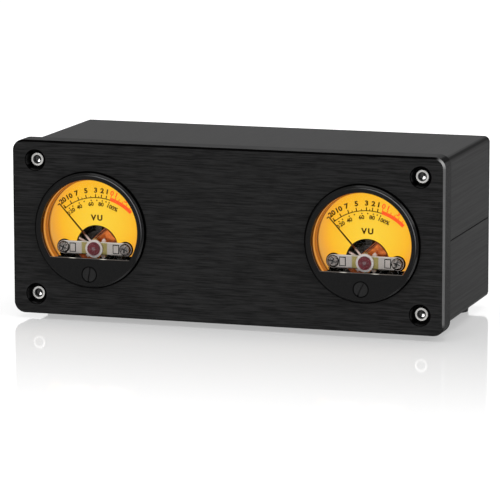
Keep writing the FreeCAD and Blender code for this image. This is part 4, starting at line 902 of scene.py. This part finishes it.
# The light line along the bridge's top is a painted highlight.
top_edge = block("top_edge", Vector((LEFT_X, pad_face, right_bridge_high.z - 0.7 * BEAD)),
                 (2 * BEAD_HALF, 2 * LINE_PROUD, 1.2 * BEAD))
apply_bevel(top_edge, LINE_PROUD / 2, 2)
top_highlight = finish_of("painted_top_highlight", (0.75, 0.74, 0.72), (0.95, 0.94, 0.92), (900, 900, 900),
                   0.2, (0.25, 0.4))
mirror_pair(top_edge, "painted_top_highlight", top_highlight, "case")
spot_low, spot_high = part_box("jewel_screws")
spot = cylinder("jewel_spot", (LEFT_X, spot_low.y - HAIR, (spot_low.z + spot_high.z) / 2),
                SPOT_RADIUS, SPOT_THICK, 24)
spot_grey = finish_of("spot_grey", (0.12, 0.06, 0.07), (0.3, 0.2, 0.22), (1800, 1800, 1800),
                      0.2, (0.2, 0.3))
mirror_pair(spot, "jewel_spot", spot_grey, "case")
white_nut = finish_of("jewel_nut", (0.6, 0.56, 0.54), (0.75, 0.71, 0.69), (1500, 1500, 1500),
                      0.1, (0.25, 0.35))
lacquer = finish_of("screw_lacquer", (0.09, 0.008, 0.013), (0.17, 0.018, 0.028), (900, 900, 900),
                    0.3, (0.25, 0.4), Specular_IOR_Level=0.3)
dress(white_nut, "jewel_nuts")
dress(lacquer, "jewel_screws")

# Boards, straps and terminals: green glass boards with black components, plated steel straps
# that clamp the meters to the front plate, and brass studs with nuts. The level controls are
# plated steel, and the switch and the power socket are moulded in black.
solder_mask = finish_of("circuit_board", (0.01, 0.1, 0.04), (0.02, 0.16, 0.07),
                        (700, 700, 700), 0.1, (0.3, 0.4))
component = finish_of("component_black", (0.012, 0.012, 0.012), (0.025, 0.025, 0.025),
                      (1500, 1500, 1500), 0.2, (0.35, 0.5), Specular_IOR_Level=0.3)
plated = finish_of("plated_steel", (0.45, 0.45, 0.45), (0.62, 0.62, 0.61),
                   (1200, 1200, 1200), 0.15, (0.28, 0.42), Metallic=1.0)
dress(solder_mask, *both("backlight_board"), "driver_board")
dress(component, "board_components", "power_switch", "power_rocker", "power_jack")
dress(plated, *both("clamp_strap"), *both("level_shaft"), "level_pots")
dress(sprung_brass, "terminal_studs", "terminal_nuts")

# Rear sockets and knobs: gold-plated phono sockets with a white and a red insulator, and
# fluted black knobs with a painted line, pushed on the shafts of the level controls.
gold = finish_of("plated_contact", (0.75, 0.52, 0.2), (0.9, 0.66, 0.3), (1500, 1500, 1500),
                 0.1, (0.18, 0.3), Metallic=1.0)
knob_black = finish_of("knob_black", (0.012, 0.012, 0.013), (0.022, 0.022, 0.023),
                       (1800, 1800, 1800), 0.2, (0.35, 0.5))
dress(gold, "input_jacks")
INSULATOR_RADIUS = 2.5 * MM
INSULATOR_WIDTH = 1.6 * MM
FLANGE_HALF = 5.5 * MM
sockets_low, sockets_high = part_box("input_jacks")
socket_z = (sockets_low.z + sockets_high.z) / 2
for channel, socket_x, dark, light, slot in (
        ("left", sockets_low.x + FLANGE_HALF, (0.45, 0.01, 0.008), (0.6, 0.02, 0.015), "screw_lacquer"),
        ("right", sockets_high.x - FLANGE_HALF, (0.6, 0.6, 0.58), (0.75, 0.75, 0.73), "jewel_nut_white")):
    insulator = arc_strip((socket_x, sockets_high.y, socket_z), INSULATOR_RADIUS, INSULATOR_WIDTH,
                          2 * SEAM_PROUD, 0, 360)
    insulator.name = channel + "_socket_insulator"
    plastic = finish_of(channel + "_insulator", dark, light, (1500, 1500, 1500), 0.1, (0.3, 0.4))
    settle(insulator, plastic, "case")
KNOB_FLUTES = 20
MARK_PLACE = 0.6
MARK_LENGTH = 0.7
FLUTE_DEPTH = 0.4 * MM
KNOB_EDGE = 0.8 * MM
MARK_WIDTH = 0.8 * MM
MARK_DEPTH = 0.3 * MM
RIB_EDGE = 0.15 * MM


def fluted_knob(side):
    """A turned knob with milled flutes and a groove for its painted line."""
    low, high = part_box(side + "_level_knob")
    radius = (high.x - low.x) / 2
    centre = Vector(((low.x + high.x) / 2, low.y, (low.z + high.z) / 2))
    knob = cylinder(side + "_fluted_knob", centre, radius, high.y - low.y, 3 * KNOB_FLUTES)

    def is_flute(middle, normal):
        turn = math.degrees(math.atan2(middle.x - centre.x, middle.z - centre.z)) % 360
        return abs(normal.y) < 0.5 and int(turn * KNOB_FLUTES / 120) % 3 == 0

    edit_faces(knob, is_flute)
    bpy.ops.mesh.inset(thickness=RIB_EDGE, use_individual=True)
    bpy.ops.transform.shrink_fatten(value=-FLUTE_DEPTH)
    done_editing()
    apply_bevel(knob, KNOB_EDGE / 2, 2, 60)
    groove = Vector((centre.x, high.y, centre.z + MARK_PLACE * radius))
    cut(knob, block("groove", groove, (MARK_WIDTH, 2 * MARK_DEPTH, radius)))
    smooth(knob)
    settle(knob, knob_black, side + "_level")
    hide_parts(side + "_level_knob")
    line = block(side + "_knob_line", groove + Vector((0, -MARK_DEPTH, -0.05 * radius)),
                 (0.9 * MARK_WIDTH, MARK_DEPTH, MARK_LENGTH * radius))
    apply_bevel(line, 0.05 * MM, 1)
    settle(line, line_white, side + "_level")


line_white = finish_of("line_white", (0.6, 0.6, 0.58), (0.8, 0.8, 0.78), (2500, 2500, 2500),
                       0.2, (0.4, 0.5))
for side in ("left", "right"):
    fluted_knob(side)

# Studio: a white floor with a faint gloss and a white surround, with a soft lamp above, one
# to the right and a weak one in front. The gloss fades in front of the unit and behind it.
GLOSS_REACH = 320 * MM
GLOSS = 0.5
GLOSS_ROUGH = 0.06
FLOOR_WHITE = 0.81
SURROUND_LIGHT = 0.35
panel_low, panel_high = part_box("front_panel")
panel_middle = (panel_low + panel_high) / 2
bpy.ops.object.select_all(action="DESELECT")
bpy.ops.mesh.primitive_plane_add(size=8.0)
floor = bpy.context.object
floor.name = "floor"


def in_view(tree):
    """1 for rays that come from the camera, from a gloss or through glass, and 0 for others."""
    rays = tree.nodes.new("ShaderNodeLightPath").outputs
    seen = worked_out(tree, "MAXIMUM", rays["Is Camera Ray"], rays["Is Glossy Ray"])
    return worked_out(tree, "MAXIMUM", seen, rays["Is Transmission Ray"])


def white_floor():
    """White paint with a gloss that fades away from the unit."""
    material, tree, shader = new_material("floor_white")
    add, link = tree.nodes.new, tree.links.new
    shader.inputs["Base Color"].default_value = (0.5, 0.5, 0.5, 1)
    shader.inputs["Roughness"].default_value = 0.8
    shader.inputs["Specular IOR Level"].default_value = 0.0
    shader.inputs["Emission Color"].default_value = (1, 1, 1, 1)
    link(worked_out(tree, "MULTIPLY", in_view(tree), FLOOR_WHITE), shader.inputs["Emission Strength"])
    place = add("ShaderNodeTexCoord")
    parts = add("ShaderNodeSeparateXYZ")
    gloss = add("ShaderNodeBsdfGlossy")
    gloss.inputs["Roughness"].default_value = GLOSS_ROUGH
    mix = add("ShaderNodeMixShader")
    link(place.outputs["Object"], parts.inputs["Vector"])
    away_from_unit = worked_out(tree, "ABSOLUTE", parts.outputs["Y"])
    link(mapped(tree, away_from_unit, GLOSS_REACH - panel_low.y, -panel_low.y, 0.0, GLOSS),
         mix.inputs["Fac"])
    link(shader.outputs["BSDF"], mix.inputs[1])
    link(gloss.outputs["BSDF"], mix.inputs[2])
    link(mix.outputs["Shader"], tree.nodes["Material Output"].inputs["Surface"])
    return material


floor.data.materials.append(white_floor())
world = bpy.data.worlds.new("surround")
bpy.context.scene.world = world
world.use_nodes = True
surround = world.node_tree.nodes["Background"]
surround.inputs["Color"].default_value = (1, 1, 1, 1)
strength = mapped(world.node_tree, in_view(world.node_tree), 0.0, 1.0, SURROUND_LIGHT, 1.0)
world.node_tree.links.new(strength, surround.inputs["Strength"])


def softbox(name, place, width, height, power):
    """A soft rectangular lamp that points at the middle of the unit."""
    bpy.ops.object.light_add(type="AREA", location=place)
    lamp = bpy.context.object
    lamp.name = name
    lamp.data.shape = "RECTANGLE"
    lamp.data.size = width
    lamp.data.size_y = height
    lamp.data.energy = power
    towards = panel_middle - Vector(place)
    lamp.rotation_euler = towards.to_track_quat("-Z", "Y").to_euler()


softbox("top_softbox", (0.1, -0.05, 1.4), 1.2, 1.2, 15)
softbox("right_softbox", (1.2, -0.3, 0.8), 0.4, 0.7, 7)
softbox("front_softbox", (-0.6, -1.6, 0.9), 1.0, 1.0, 5)

# Camera: a long lens to the right of the unit and a little above it, aimed near the middle
# of the front plate.
YAW = math.radians(17.726)
PITCH = math.radians(9.684)
ROLL = math.radians(-0.081)
CAMERA_DISTANCE = 1.4030
CAMERA_LENS = 257.96
TARGET_SHIFT = Vector((0.01040, 0.0, -0.004749))
target = Vector((0.0, panel_low.y, panel_middle.z)) + TARGET_SHIFT
away = Vector((math.sin(YAW) * math.cos(PITCH), -math.cos(YAW) * math.cos(PITCH), math.sin(PITCH)))
bpy.ops.object.camera_add(location=target + CAMERA_DISTANCE * away)
camera = bpy.context.object
camera.data.lens = CAMERA_LENS
camera.data.sensor_width = 36
camera.data.clip_end = 20
camera.rotation_euler = away.to_track_quat("Z", "Y").to_euler()
camera.rotation_euler.rotate_axis("Z", ROLL)
bpy.context.scene.camera = camera

bpy.context.scene.view_settings.view_transform = "Standard"
